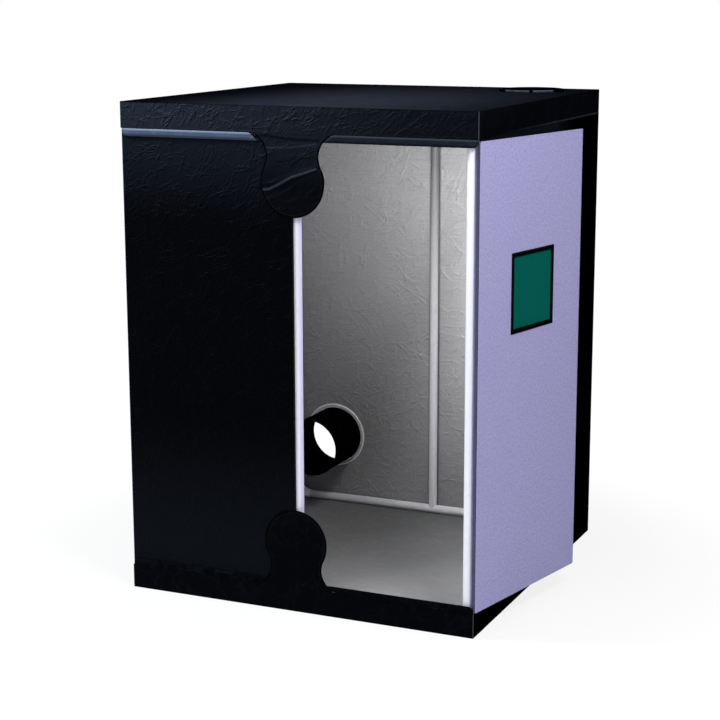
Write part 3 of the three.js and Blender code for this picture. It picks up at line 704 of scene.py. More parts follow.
# Lines along a padded zip cover: its lit upper edge, a seam, and its lower edge in the shade
def coverLines(side, lit, shaded):
    reach = (side * 0.07, side * 0.374)
    levels = ((0.9352, 0.0042, shaded, 0.85), (0.9424, 0.0013, shaded, 0.5), (0.9462, 0.0028, lit, 1.0))
    return [([(reach[0], z), (reach[1], z)], half, color, share) for z, half, color, share in levels]


# Powder coat; the lilac tint where it faces right is painted shade. The back poles' coat is a darker copy
# whose fades, darker towards the top and the left, are painted shade.
paint = paleCoat("whitePowderCoat", (0.94, 0.93, 1.0), (0.87, 0.86, 0.97), 0.32, 0.0011,
                 rightFacingShade=(0.74, 0.71, 1.0))
shadePaint = paleCoat("shadedPowderCoat", (0.86, 0.86, 0.89), (0.74, 0.74, 0.77), 0.4, 0.0011,
                      fades=(((0, 0, 1), 0.13, 0.95, 1.0, 0.11), ((1, 0, 0), -0.3, 0.08, 0.52, 1.0)))
plastic = paleCoat("whiteMoulding", (0.86, 0.86, 0.9), (0.74, 0.74, 0.77), 0.42, 0.0007)
# The shell's black cloth comes in copies whose differences are painted light and shade: the band and back
# wall darken towards the right, the top flap and the doors are paler at the top and the doors again at the
# foot, the low copy is near-black in the shade at the foot, the right wall darkens towards the back and its
# foot, the side and right band copies are near-black in the right side's shade, and the roof is paler in the
# middle of its front.
clothFront = shellCloth("blackClothBand", "front", dark=(0.003, 0.0038, 0.006), pale=(0.024, 0.031, 0.048),
                        deep=(0.0016, 0.002, 0.0031), fade=("X", 0.42, -0.36, 0.0), emboss=0.75,
                        crinkleSize=0.0075, crinkleRise=0.0009, gloss=0.03)
clothFlap = shellCloth("blackClothTopFlap", "front", dark=(0.0016, 0.002, 0.0032),
                       pale=(0.0105, 0.0135, 0.021), fade=("Y", 0.84, 0.93, 0.05), lines=topFlapLines,
                       emboss=0.5, crinkleSize=0.0075, crinkleRise=0.0005, gloss=0.03)
doorTone = {"dark": (0.0012, 0.0015, 0.0024), "pale": (0.013, 0.0168, 0.026), "fade": ("Y", 0.76, 0.95, 0.02),
            "lines": doorFootLight, "emboss": 0.75, "crinkleSize": 0.0075, "crinkleRise": 0.0007, "gloss": 0.02}
clothDoor = shellCloth("blackClothClosedDoor", "front", **doorTone)
clothOpenDoor = shellCloth("blackClothOpenDoor", "door", **doorTone)
clothLow = shellCloth("blackClothLow", "front", dark=(0.0008, 0.0009, 0.0014), pale=(0.002, 0.0024, 0.0036),
                      gloss=0.02, lines=lowFlapLines)
sideTone = {"dark": (0.0014, 0.0018, 0.0028), "pale": (0.0115, 0.0148, 0.0225), "emboss": 0.6,
            "crinkleSize": 0.0075, "crinkleRise": 0.0006, "gloss": 0.0}
clothLeft = shellCloth("blackClothLeft", "side", **sideTone)
clothRight = shellCloth("blackClothRight", "side", deep=(0.0003, 0.0003, 0.0004), fade=("X", 0.22, 0.02, 0.0),
                        lines=rightShades, **sideTone)
clothSide = shellCloth("blackClothSide", "side", dark=(0.0003, 0.0003, 0.0004), pale=(0.0016, 0.0018, 0.0025),
                       crinkleRise=0.0003, gloss=0.0)
clothRightBand = shellCloth("blackClothRightBand", "side", dark=(0.0022, 0.0026, 0.004),
                            pale=(0.0036, 0.0042, 0.006), crinkleRise=0.0002, gloss=0.0)
clothFlat = shellCloth("blackClothFlat", "flat", dark=(0.013, 0.017, 0.025), pale=(0.018, 0.023, 0.034),
                       deep=(0.001, 0.0012, 0.0018), fade=("X", -0.36, 0.02, 0.0), lines=roofShades,
                       crinkleRise=0.0002, gloss=0.0)
# Copies of one cover cloth: lit on the top left, shaded on the top right and in deep shade at the foot; their
# tones and lines are painted light and shade.
coverLit = shellCloth("litSlateCover", "front", dark=(0.055, 0.077, 0.125), pale=(0.095, 0.125, 0.19),
                       lines=coverLines(-1, (0.15, 0.2, 0.28), (0.024, 0.036, 0.06)), crinkleRise=0.0001,
                       gloss=0.1)
coverShaded = shellCloth("shadedSlateCover", "front", dark=(0.008, 0.0105, 0.016), pale=(0.018, 0.024, 0.036),
                       lines=coverLines(1, (0.027, 0.034, 0.047), (0.004, 0.005, 0.008)), crinkleRise=0.0001,
                       gloss=0.04)
coverLow = shellCloth("blackCover", "front", dark=(0.0012, 0.0014, 0.002), pale=(0.004, 0.005, 0.007),
                      crinkleRise=0.0002, gloss=0.01)
sleeveCloth = shellCloth("glossySleeveCloth", "round", dark=(0.0004, 0.0004, 0.0005),
                         pale=(0.0018, 0.0018, 0.0024), crinkleSize=0.012, crinkleRise=0.0003, gloss=0.0,
                         tint=(0.8, 0.88, 1.0), roughness=(0.4, 0.3))
# Painted highlights on the near rim of the roof sleeve's roll
rollLines = [([(0.2246, 0.2019), (0.2506, 0.1926), (0.2734, 0.1934)], 0.006, (0.075, 0.09, 0.13), 0.8),
             ([(0.2868, 0.1975), (0.3023, 0.2068), (0.3164, 0.222)], 0.006, (0.085, 0.105, 0.155), 0.9)]
rollCloth = shellCloth("sleeveRollCloth", "flat", dark=(0.0006, 0.0008, 0.0012), pale=(0.002, 0.0025, 0.004),
                       lines=rollLines, crinkleRise=0.0001, gloss=0.0)
# Painted shade on the film beside the back middle post
postShade = [([(0.0045, 0.02), (0.0045, 0.98)], 0.0065, (0.1, 0.1, 0.105), 0.85)]
# The upright film's fades are painted shade, which leaves its upper right brightest
filmFront = liningFilm("greyLiningUpright", "front", dark=(0.61, 0.61, 0.62), pale=(0.93, 0.93, 0.94),
                       lines=postShade, fades=(((0.648, 0.761), -0.011, 0.66, 0.423),
                                               ((0.886, -0.463), -0.286, -0.015, 0.494)))
filmPlain = liningFilm("greyLiningLeftDoor", "front", dark=(0.5, 0.5, 0.51), pale=(0.76, 0.76, 0.77))
filmSide = liningFilm("greyLiningSide", "side")
# The flat film's fades are painted shade, darker towards the back and the left
filmFlat = liningFilm("greyLiningFlat", "flat", dark=(0.375, 0.375, 0.38), pale=(0.65, 0.65, 0.655),
                      crinkleRise=0.00015,
                      fades=(((0.823, -0.568), 0.06, 0.268, 0.608), ((0.906, -0.424), -0.197, 0.235, 0.388)))
# The ring's film is darker to match the painted shade of the wall around it; the cord's paler film is partly
# a painted highlight along the ring's edge
filmRound = liningFilm("greyLiningRing", "round", dark=(0.34, 0.34, 0.35), pale=(0.5, 0.5, 0.51),
                       crinkleSize=0.009)
filmCord = liningFilm("greyLiningCord", "round", dark=(0.82, 0.82, 0.83), pale=(0.95, 0.95, 0.96),
                      crinkleSize=0.009)
filmDoor = doorFilm("lilacLining", "door")
filmPane = windowFilm("greenWindowFilm")
tape = tapeCloth("blackZipTape", (0.004, 0.004, 0.005), (0.014, 0.014, 0.017), 0.0006, 0.00012)
binding = tapeCloth("blackBinding", (0.0006, 0.0006, 0.0008), (0.0022, 0.0022, 0.003), 0.0007, 0.00015,
                    gloss=0.0)
hooks = tapeCloth("blackHookTape", (0.005, 0.005, 0.006), (0.018, 0.018, 0.021), 0.0009, 0.0002, 0.9)
thread = tapeCloth("blackThread", (0.008, 0.008, 0.01), (0.03, 0.03, 0.035), 0.0003, 0.00005, 0.6)
seamTape = tapeCloth("greySeamCord", (0.03, 0.032, 0.038), (0.07, 0.075, 0.085), 0.0004, 0.00008, 0.5)
# The jamb tape's lilac-grey is partly painted shade, standing in for the shaded side of the post beside it
jambTape = tapeCloth("lilacJambTape", (0.05, 0.05, 0.088), (0.16, 0.16, 0.26), 0.0006, 0.0001, gloss=0.0)
metal = darkMetal("darkPlatedMetal")
print("materials made:", len(bpy.data.materials))


# Poles: open tubes with softened ends
poleLook = {"wall": 0.8 * mm, "rim": 0.3 * mm, "sides": 48, "clearance": 0.3 * mm, "stub": 25 * mm,
            "stubTip": 1 * mm}


# Where a tube meets a rail, its ends are cut back to a distance from the rail's axis
def tubeParts(middle, axis, half, radius, railReach=None):
    look = poleLook
    axis = Vector(axis)
    first = Vector((1, 0, 0)) if axis.x == 0 else Vector((0, 1, 0))
    second = axis.cross(first)
    inner = radius - look["wall"]
    angles = ringAngles(look["sides"])
    cut = np.sqrt(railReach ** 2 - (radius * np.sin(angles)) ** 2) if railReach else np.zeros(look["sides"])
    profile = [(radius - look["rim"], -1, 0), (radius, -1, look["rim"]), (radius, 1, look["rim"]),
               (radius - look["rim"], 1, 0), (inner, 1, 0), (inner, -1, 0)]
    loops = []
    for distance, end, back in profile:
        loops.append([middle + axis * (end * (half - back - cut[j])) + first * (distance * math.cos(angle))
                      + second * (distance * math.sin(angle)) for j, angle in enumerate(angles)])
    return loopStack(loops, ring=True)


# The stub on a front or back rail starts at the rail's skin
def stubParts(rail, toward, radius):
    look = poleLook
    slim = radius - look["wall"] - look["clearance"]
    end, tip = radius + look["stub"], look["stubTip"]
    loops = []
    for size, reach in ((slim, None), (slim, end - tip), (slim - tip, end)):
        loop = []
        for x, y in zip(*circle(size, look["sides"])):
            start = math.sqrt(radius ** 2 - y ** 2)
            loop.append(rail + Vector((x, y, toward * (start if reach is None else reach))))
        loops.append(loop)
    return loopStack(loops)


def makeFrame():
    for node in frame["nodes"]:
        if not (node.startswith(("corner_post", "middle_post")) or "_rail_" in node):
            continue
        low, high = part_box(node)
        size = high - low
        radius = min(size) / 2
        middle = (low + high) / 2
        if node.startswith("middle_post"):  # it runs from the axis of the lower rail to that of the upper one
            half = middle.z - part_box("bottom_rail_front")[0].z - radius
            parts = [tubeParts(middle, (0, 0, 1), half, radius, radius + poleLook["clearance"])]
        elif node.startswith("corner_post"):
            parts = [tubeParts(middle, (0, 0, 1), size.z / 2, radius)]
        elif node.endswith(("left", "right")):
            parts = [tubeParts(middle, (0, 1, 0), size.y / 2, radius)]
        else:
            upward = 1 if node.startswith("bottom") else -1
            middle.z = low.z + radius if upward > 0 else high.z - radius
            parts = [tubeParts(middle, (1, 0, 0), size.x / 2, radius), stubParts(middle, upward, radius)]
        coat = shadePaint if "back" in node and "corner" not in node else paint
        addPiece("steel_" + node, parts, coat, "root", "painted_steel", node)


makeFrame()
print("poles made")


# Corner fittings: legs and pins on three axes with hollow webs, melted together as one moulding
fittingLook = {"leg": 38 * mm, "pin": 25 * mm, "web": 7 * mm, "block": 16.2 * mm, "radius": 9.5 * mm,
               "legTip": 0.6 * mm, "pinTip": 1.2 * mm, "blockEdge": 1.5 * mm, "voxel": 0.95 * mm,
               "smoothing": 5}


def webParts(look):
    radius = look["leg"] - look["radius"]
    arc = [(look["leg"] - radius * math.sin(a), look["leg"] - radius * math.cos(a))
           for a in np.linspace(0, math.pi / 2, 13)]
    outline = [(0, 0), (look["leg"], 0), *arc, (0, look["leg"])]
    half = look["web"] / 2
    return loopStack([[(x, y, -half) for x, y in outline], [(x, y, half) for x, y in outline]])


def rodParts(axis, radius, start, end, tip):
    x, y = circle(1, 48)
    loops = []
    for size, along in ((radius, start), (radius, end - tip), (radius - tip, end)):
        points = [(a * size, b * size, along) for a, b in zip(x, y)]
        loops.append([(p[(0 - axis) % 3], p[(1 - axis) % 3], p[(2 - axis) % 3]) for p in points])
    return loopStack(loops)


def makeFittings():
    look = fittingLook
    pinRadius = look["radius"] - poleLook["wall"] - poleLook["clearance"]
    shapes = []
    for axis in range(3):
        shapes.append(rodParts(axis, look["radius"], -look["radius"], look["leg"], look["legTip"]))
        shapes.append(rodParts(axis, pinRadius, 0, look["leg"] + look["pin"], look["pinTip"]))
    web = webParts(look)
    quarter = math.pi / 2
    shapes += [web, moved(web, Matrix.Rotation(quarter, 4, "X")),
               moved(web, Matrix.Rotation(-quarter, 4, "Y"))]
    shapes.append(softBox((-look["block"], -look["block"], -look["radius"]), (0, 0, look["radius"]),
                          look["blockEdge"]))
    mould = makePiece("mould", shapes, plastic)
    melt = mould.modifiers.new("melt", "REMESH")
    melt.mode = "VOXEL"
    melt.voxel_size = look["voxel"]
    ease = mould.modifiers.new("ease", "SMOOTH")
    ease.iterations = look["smoothing"]
    ease.factor = 0.5
    melted = bpy.data.meshes.new_from_object(mould.evaluated_get(bpy.context.evaluated_depsgraph_get()))
    bpy.data.objects.remove(mould)
    places = np.array([vert.co for vert in melted.vertices])
    faces = [list(face.vertices) for face in melted.polygons]
    for node in frame["nodes"]:
        if "_connector_" not in node:
            continue
        low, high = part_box(node)
        sign = [1 if abs(low[k]) > abs(high[k]) else -1 for k in range(3)]
        sign[2] = 1 if node.startswith("bottom") else -1
        outer = [low[k] if sign[k] > 0 else high[k] for k in range(3)]
        corner = [outer[k] + sign[k] * (look["block"] if k < 2 else look["radius"]) for k in range(3)]
        part = (places * sign + corner, faces)
        addPiece("moulded_" + node, [part], plastic, "root", "connector_plastic", node, sharp=60)
    bpy.data.meshes.remove(melted)


makeFittings()
print("corner fittings made")

# Flat cloth of the cover. Swells and creases rise outwards, and die away at the edges and round the ports.
# A panel has a name, its node, the way it faces, a material, the size of its cells and a relief.
calm = {"swell": 0.25 * mm, "swellLength": 0.16, "crease": 0.2 * mm, "creases": 30, "creaseLength": 0.09,
        "creaseWidth": 0.006, "margin": 0.05, "seed": 1}
lively = {**calm, "swell": 0.5 * mm, "crease": 0.7 * mm, "creases": 130, "creaseLength": 0.035,
          "creaseWidth": 0.0035, "margin": 0.012}
panels = [
    ("roof_cloth", "roof_panel", (0, 0, 1), clothFlat, 0.008, {**calm, "seed": 11}),
    ("front_band_cloth", "top_band_front", (0, -1, 0), clothFront, 0.0015,
     {**lively, "seed": 21, "crease": 0.9 * mm, "creases": 190, "creaseLength": 0.027,
      "creaseWidth": 0.0021}),
    ("back_band_cloth", "top_band_back", (0, 1, 0), clothFront, 0.005, {**lively, "seed": 31, "creases": 50}),
    ("left_band_cloth", "top_band_left", (-1, 0, 0), clothLeft, 0.005, {**lively, "seed": 41, "creases": 50}),
    ("right_band_cloth", "top_band_right", (1, 0, 0), clothRightBand, 0.005,
     {**lively, "seed": 51, "creases": 30, "crease": 0.3 * mm}),
    ("bottom_band_cloth", "bottom_band_front", (0, -1, 0), clothLow, 0.003,
     {**lively, "seed": 61, "creases": 40, "crease": 0.3 * mm}),
    ("left_wall_cloth", "left_wall", (-1, 0, 0), clothLeft, 0.008, {**calm, "seed": 71}),
    ("right_wall_cloth", "right_wall", (1, 0, 0), clothRight, 0.008, {**calm, "seed": 81}),
    ("back_wall_cloth", "back_wall", (0, 1, 0), clothFront, 0.008, {**calm, "seed": 91, "swell": 0.5 * mm}),
    ("floor_cloth", "floor_sheet", (0, 0, -1), clothFlat, 0.02,
     {**calm, "seed": 101, "swell": 0, "crease": 0}),
    ("roof_lining_film", "roof_lining", (0, 0, -1), filmFlat, 0.012, {**calm, "seed": 111}),
    ("floor_lining_film", "floor_lining", (0, 0, 1), filmFlat, 0.008,
     {**calm, "seed": 121, "swell": 0.4 * mm}),
    ("left_wall_film", "left_wall_lining", (1, 0, 0), filmSide, 0.01, {**calm, "seed": 131}),
    ("right_wall_film", "right_wall_lining", (-1, 0, 0), filmSide, 0.01, {**calm, "seed": 141}),
    ("back_wall_film", "back_wall_lining", (0, -1, 0), filmFront, 0.0046,
     {**calm, "seed": 151, "swell": 1.2 * mm, "crease": 0.7 * mm, "creases": 130, "creaseLength": 0.08,
      "creaseWidth": 0.0038, "calmBelow": (0.35, 0.8)}),
]
holedPanels = {"roof_panel": "roof", "roof_lining": "roof", "back_wall": "back", "back_wall_lining": "back"}
holeLook = {"radius": 66.7 * mm, "calmTo": 82 * mm, "livelyFrom": 112 * mm}


def flatAxes(facing):
    facing = Vector(facing)
    up = Vector((0, 0, 1)) if facing.z == 0 else Vector((0, 1, 0))
    return up.cross(facing), up, facing


# A side wall's front edge steps back beside the doors: from where, and above which height
def wallStep():
    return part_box("left_wall_lining")[0].y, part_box("bottom_band_front")[1].z


def makePanel(name, node, facing, material, cell, look):
    low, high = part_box(node)
    across, up, out = flatAxes(facing)
    ends = sorted((low.dot(across), high.dot(across)))
    levels = sorted((low.dot(up), high.dot(up)))
    front = max(low.dot(out), high.dot(out))
    thickness = abs((high - low).dot(out))
    stepped = node in ("left_wall", "right_wall")
    stepY, stepLow = wallStep()
    lineU = stations(sorted(ends + [stepY * across.y] * stepped), cell)
    lineV = stations(sorted(levels + [stepLow] * stepped), cell)
    u, v = np.meshgrid(lineU, lineV)
    cellU, cellV = np.meshgrid((lineU[1:] + lineU[:-1]) / 2, (lineV[1:] + lineV[:-1]) / 2)
    keep = np.ones(cellU.shape, bool)
    if stepped:
        keep &= ~((cellU * across.y < stepY) & (cellV > stepLow))
    if node in holedPanels:
        sleeveLow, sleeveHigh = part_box(holedPanels[node] + "_port_sleeve")
        middle = (sleeveLow + sleeveHigh) / 2
        holeU, holeV, radius = middle.dot(across), middle.dot(up), holeLook["radius"]
        keep &= np.hypot(cellU - holeU, cellV - holeV) > radius
        distance = np.hypot(u - holeU, v - holeV)
        touching = np.zeros(u.shape, int)  # how many cells of cloth meet at a corner
        for row in (0, 1):
            for column in (0, 1):
                touching[row:row + keep.shape[0], column:column + keep.shape[1]] += keep
        rim = (touching > 0) & (touching < 4) & (distance < radius + 2 * cell)
        pull = np.where(rim, radius / np.maximum(distance, 1e-6), 1)
        u = holeU + (u - holeU) * pull
        v = holeV + (v - holeV) * pull
    height = clothRelief(u, v, look)
    if "calmBelow" in look:
        calmTo, livelyFrom = look["calmBelow"]
        height = height * (0.3 + 0.7 * np.clip((v - calmTo) / (livelyFrom - calmTo), 0, 1))
    if node in holedPanels:
        calmTo, livelyFrom = holeLook["calmTo"], holeLook["livelyFrom"]
        height = height * np.clip((np.hypot(u - holeU, v - holeV) - calmTo) / (livelyFrom - calmTo), 0, 1)
    axes = [np.array(axis) for axis in (across, up, out)]

    def put(rise):
        return u[..., None] * axes[0] + v[..., None] * axes[1] + (front + rise)[..., None] * axes[2]

    slot = "reflective_lining" if "lining" in node else "shell_cloth"
    piece = addPiece(name, [skin(put(height), put(height - thickness), keep)], material, "root", slot, node)
    return piece, (ends[1] - ends[0], levels[1] - levels[0])


sheets = {panel[0]: makePanel(*panel) for panel in panels}
print("flat cloth made:", len(sheets))


# Doors. A place on a door is its distance from the hinge line, how far it lies in front of the door's face,
# and its height.
doorLook = {"start": 0.5 * mm, "coil": 2.4 * mm, "inset": 2.7 * mm, "shell": 1 * mm, "gap": 0.3 * mm,
            "lining": 0.7 * mm, "cell": 0.0055, "flatFoot": 0.05, "hingeSlope": 0.02, "calmRound": 0.03}
doorDepth = doorLook["shell"] + doorLook["gap"] + doorLook["lining"]
doorCalm = {**calm, "swell": 0.5 * mm, "swellLength": 0.13, "crease": 0.35 * mm, "creases": 90,
            "creaseLength": 0.06, "creaseWidth": 0.006, "margin": 0.035}
# Strokes near the top of a door's cloth: how many, height, length, width, where they fade out and in, the
# cells there, and how far they keep from what lies on the door and from its edges
doorStrokes = {"count": 260, "rise": 0.7 * mm, "length": 0.028, "width": 0.0023, "from": 0.74, "to": 0.86,
               "cell": 0.0022, "clear": 0.003, "margin": 0.012}
hemLook = {"overlap": 0.5 * mm, "edge": 0.25 * mm, "corner": 3 * mm, "rises": (0.02 * mm, 0.27 * mm)}
windowLook = {"fromHinge": 0.192, "height": 0.650, "pane": 0.1374, "hole": 0.144, "outer": 0.156,
              "inner": 0.138, "lip": 0.9 * mm, "gap": 0.3 * mm, "cornerRadius": 2.5 * mm, "soft": 0.35 * mm,
              "bevel": 1.6 * mm, "stitchInner": 1.6 * mm, "stitchOuter": 2.2 * mm, "paneHalf": 0.4 * mm,
              "paneCell": 0.004, "sag": 0.35 * mm, "sagLength": 0.09, "sagMargin": 0.02}


def placeOnDoor(word, fromHinge, outward, height):
    hinge = jointOf[word + "_door"]["pos_m"]
    side = 1 if word == "left" else -1
    turn = 0 if word == "left" else math.radians(openTurn)
    fromHinge, outward, height = np.broadcast_arrays(fromHinge, outward, height)
    x, y = side * fromHinge, -outward
    return np.stack([hinge[0] + x * math.cos(turn) - y * math.sin(turn),
                     hinge[1] + x * math.sin(turn) + y * math.cos(turn), height], -1)


# Points of an outline on a door, as pairs of distance from the hinge and height
def onDoor(word, outline, outward):
    outline = np.array(outline)
    return placeOnDoor(word, outline[:, 0], outward, outline[:, 1])


def doorOutward(word):
    return placeOnDoor(word, 0.0, 1.0, 0.0) - placeOnDoor(word, 0.0, 0.0, 0.0)


def doorSize():
    low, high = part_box("left_door_zip")
    return high.x - jointOf["left_door"]["pos_m"][0], low.z, high.z


def strokeRelief(word, u, v, width, seed):
    look = doorStrokes
    marks = creases(u, np.maximum(v, look["from"]), seed, look["count"], look["length"], look["width"])
    share = np.clip((v - look["from"]) / (look["to"] - look["from"]), 0, 1)
    # None where the zip's cover and the flap's hook patch lie on the door
    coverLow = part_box("zip_cover_top_" + word)[0].z
    hookLow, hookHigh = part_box("top_flap_hook")
    besideHook = np.maximum.reduce([hookLow.z - v, v - hookHigh.z, width - hookHigh.x - u])
    for beside in (coverLow - v, besideHook):
        share = share * np.clip(beside / look["clear"] - 1, 0, 1)
    return look["rise"] * marks * share * edgeFade(u, v, look["margin"])


# One layer of a door: its outer cloth, whose relief rises outwards, or its lining, whose relief rises inwards
def makeDoorCloth(word, name, node, outer, thickness, material, slot, look, away):
    width, bottom, top = doorSize()
    inset, cell = doorLook["inset"], doorLook["cell"]
    lineU = [doorLook["start"], width - inset]
    lineV = [bottom + inset, top - inset]
    if word == "right":
        half = windowLook["hole"] / 2
        middleU, middleV = windowLook["fromHinge"], windowLook["height"]
        lineU = sorted(lineU + [middleU - half, middleU + half])
        lineV = sorted(lineV + [middleV - half, middleV + half])
    if away > 0:
        upper = doorStrokes["from"]
        lineU = stations(lineU, doorStrokes["cell"])
        lineV = np.concatenate([stations([lineV[0], upper], cell),
                                stations([upper, lineV[-1]], doorStrokes["cell"])[1:]])
    else:
        lineU, lineV = stations(lineU, cell), stations(lineV, cell)
    u, v = np.meshgrid(lineU, lineV)
    cellU, cellV = np.meshgrid((lineU[1:] + lineU[:-1]) / 2, (lineV[1:] + lineV[:-1]) / 2)
    keep = np.ones(cellU.shape, bool)
    height = clothRelief(u, v, look) * np.clip((v - bottom) / doorLook["flatFoot"], 0, 1)
    if away > 0:
        height += strokeRelief(word, u, v, width, look["seed"] + 5)
    height = np.minimum(height, doorLook["hingeSlope"] * u)  # flat where the door swings back on the wall
    if word == "right":
        keep &= ~((abs(cellU - middleU) < half) & (abs(cellV - middleV) < half))
        far = np.maximum(abs(u - middleU), abs(v - middleV)) - windowLook["outer"] / 2
        height = height * np.clip(far / doorLook["calmRound"], 0, 1)
    first = placeOnDoor(word, u, outer + away * height, v)
    second = placeOnDoor(word, u, outer + away * height - thickness, v)
    piece = addPiece(name, [skin(first, second, keep)], material, word + "_door", slot, node)
    return piece, (width - inset - doorLook["start"], top - bottom - 2 * inset)


def makeDoors():
    look = doorLook
    behind = -look["shell"] - look["gap"]
    layers = (("left", 201, clothDoor, filmPlain, "reflective_lining"),
              ("right", 231, clothOpenDoor, filmDoor, "door_lining"))
    for word, seed, outerCloth, innerFilm, filmSlot in layers:
        door = word + "_door"
        sheets[door + "_cloth"] = makeDoorCloth(word, door + "_cloth", door + "_shell", 0.0, look["shell"],
                                                outerCloth, "shell_cloth", {**doorCalm, "seed": seed}, 1)
        flatter = {**doorCalm, "seed": seed + 9, "swell": 0.3 * mm, "crease": 0.12 * mm}
        sheets[door + "_film"] = makeDoorCloth(word, door + "_film", door + "_lining", behind, look["lining"],
                                               innerFilm, filmSlot, flatter, -1)
        makeDoorZip(word)


# A C of tape with the zip's teeth on it: along the top, down the free edge and back along the bottom
def makeDoorZip(word):
    width, bottom, top = doorSize()
    start, coil = doorLook["start"], doorLook["coil"]

    def bracket(inset):
        edge = width - inset
        return [(start, top - inset), (edge, top - inset), (edge, bottom + inset), (start, bottom + inset)]

    outline = bracket(0.0) + bracket(coil)[::-1]
    loops = [onDoor(word, outline, -doorDepth / 2 + side * 0.35 * mm) for side in (1, -1)]
    line = onDoor(word, bracket(coil / 2), -doorDepth / 2)
    parts = [loopStack(loops), beadRow("doorTeeth", line, doorOutward(word), ends=0.6 * mm)]
    addPiece(word + "_door_teeth", parts, tape, word + "_door", "zip_tape", word + "_door_zip", sharp=50)


# The right door's lining is hemmed over the zip on its inner face, with softly rounded corners
def makeDoorHem():
    width, bottom, top = doorSize()
    start, inner = doorLook["start"], doorLook["inset"] + hemLook["overlap"]
    edge, corner = hemLook["edge"], hemLook["corner"]
    outline = [(start, top - edge)]
    for middleZ, begin in ((top - edge - corner, math.pi / 2), (bottom + edge + corner, 0)):
        for k in range(7):
            angle = begin - math.pi / 2 * k / 6
            outline.append((width - edge - corner + corner * math.cos(angle),
                            middleZ + corner * math.sin(angle)))
    outline += [(start, bottom + edge), (start, bottom + inner), (width - inner, bottom + inner),
                (width - inner, top - inner), (start, top - inner)]
    loops = [onDoor("right", outline, -doorDepth - rise) for rise in hemLook["rises"]]
    return addPiece("right_door_hem", [loopStack(loops)], filmDoor, "right_door", "door_lining")


# The window's frame is a binding folded over the door's cloth, stitched on both faces
def makeWindow():
    look = windowLook
    soft, bevel, groove = look["soft"], look["bevel"], look["gap"]
    inner, outer, hole = look["inner"] / 2, look["outer"] / 2, look["hole"] / 2 - look["gap"]
    front = look["gap"] + look["lip"]
    back = -doorDepth - front
    grooveBack = back + look["lip"]
    profile = [(inner, front - soft), (inner + soft, front), (outer - bevel, front),
               (outer - soft, front - 0.2 * mm), (outer, front - soft - 0.1 * mm), (outer, groove),
               (hole, groove), (hole, grooveBack), (outer, grooveBack), (outer, back + soft + 0.1 * mm),
               (outer - soft, back + 0.2 * mm), (outer - bevel, back), (inner + soft, back),
               (inner, back + soft)]

    def ringOnDoor(half, corner, outward):
        outline = roundedLoop(half, half, corner, 4) + (look["fromHinge"], look["height"])
        return onDoor("right", outline, outward)

    loops = [ringOnDoor(half, max(0.4 * mm, look["cornerRadius"] + half - outer), outward)
             for half, outward in profile]
    addPiece("window_binding", [loopStack(loops, ring=True)], binding, "right_door", "binding_tape",
             "window_frame")
    rows = []
    for half in (inner + look["stitchInner"], outer - look["stitchOuter"]):
        for level, way in ((front, 1), (back, -1)):
            line = ringOnDoor(half, look["cornerRadius"] / 2, level)
            rows.append(beadRow("window", line, doorOutward("right") * way, closed=True))
    addPiece("window_stitches", rows, thread, "right_door", "binding_tape")

    line = stations([-look["pane"] / 2, look["pane"] / 2], look["paneCell"])
    u, v = np.meshgrid(line, line)
    sag = look["sag"] * (swells(u, v, 301, look["sagLength"]) - 0.5) * edgeFade(u, v, look["sagMargin"])
    faces = [placeOnDoor("right", look["fromHinge"] + u, -doorDepth / 2 + sag + side * look["paneHalf"],
                         look["height"] + v) for side in (1, -1)]
    addPiece("window_film_pane", [skin(*faces)], filmPane, "right_door", "window_film", "window_pane")


makeDoors()
doorHem = makeDoorHem()
makeWindow()
print("doors and window made")


# Flaps: a bulb on a neck that flares into the band, with a bound border
flapLook = {"bulb": 65.4 * mm, "fillet": 45 * mm, "filletSide": 98.5 * mm, "filletDrop": 43 * mm,
            "thickness": 2 * mm, "tipAngle": 3, "neckRows": 26, "bulbRows": 44, "columns": 46,
            "border": (1.9 * mm, 1.44 * mm), "rootGap": 0.2 * mm, "rootFade": 0.012, "crease": 0.45 * mm,
            "creases": 60, "creaseLength": 0.035, "creaseWidth": 0.0035, "swell": 0.5 * mm,
            "swellLength": 0.07, "edgeStep": 6, "seamInset": 3.4 * mm, "seamRise": 0.1 * mm}
# Folds from one place to another, across and down, with their rise and the spread above and below, all in
# millimetres
topFolds = [((-66, 106), (50, 64), 3.0, 7.0, 3.0), ((-64, 4), (56, 10), 0.9, 2.5, 4.5),
            ((-52, 27), (52, 17), 0.8, 3.0, 5.0), ((-30, 135), (34, 118), 1.0, 5.0, 9.0)]
lowFolds = [((-45, 64), (52, 108), 2.0, 4.0, 8.0), ((-38, 116), (32, 134), 0.8, 5.0, 9.0)]


def flapBulbDrop(look):
    return look["filletDrop"] + math.sqrt((look["bulb"] + look["fillet"]) ** 2 - look["filletSide"] ** 2)


def flapRows(look):
    bulbDrop = flapBulbDrop(look)
    tangent = math.atan2(bulbDrop - look["filletDrop"], look["filletSide"])
    tangentDrop = bulbDrop - look["bulb"] * math.sin(tangent)
    rows = []
    for i in range(look["neckRows"]):
        drop = look["rootGap"] + (tangentDrop - look["rootGap"]) * i / look["neckRows"]
        past = drop - look["filletDrop"]
        rows.append((drop, look["filletSide"] - math.sqrt(look["fillet"] ** 2 - past ** 2)))
    last = math.radians(90 - look["tipAngle"])
    for i in range(look["bulbRows"] + 1):
        angle = -tangent + (last + tangent) * i / look["bulbRows"]
        rows.append((bulbDrop + look["bulb"] * math.sin(angle), look["bulb"] * math.cos(angle)))
    return rows


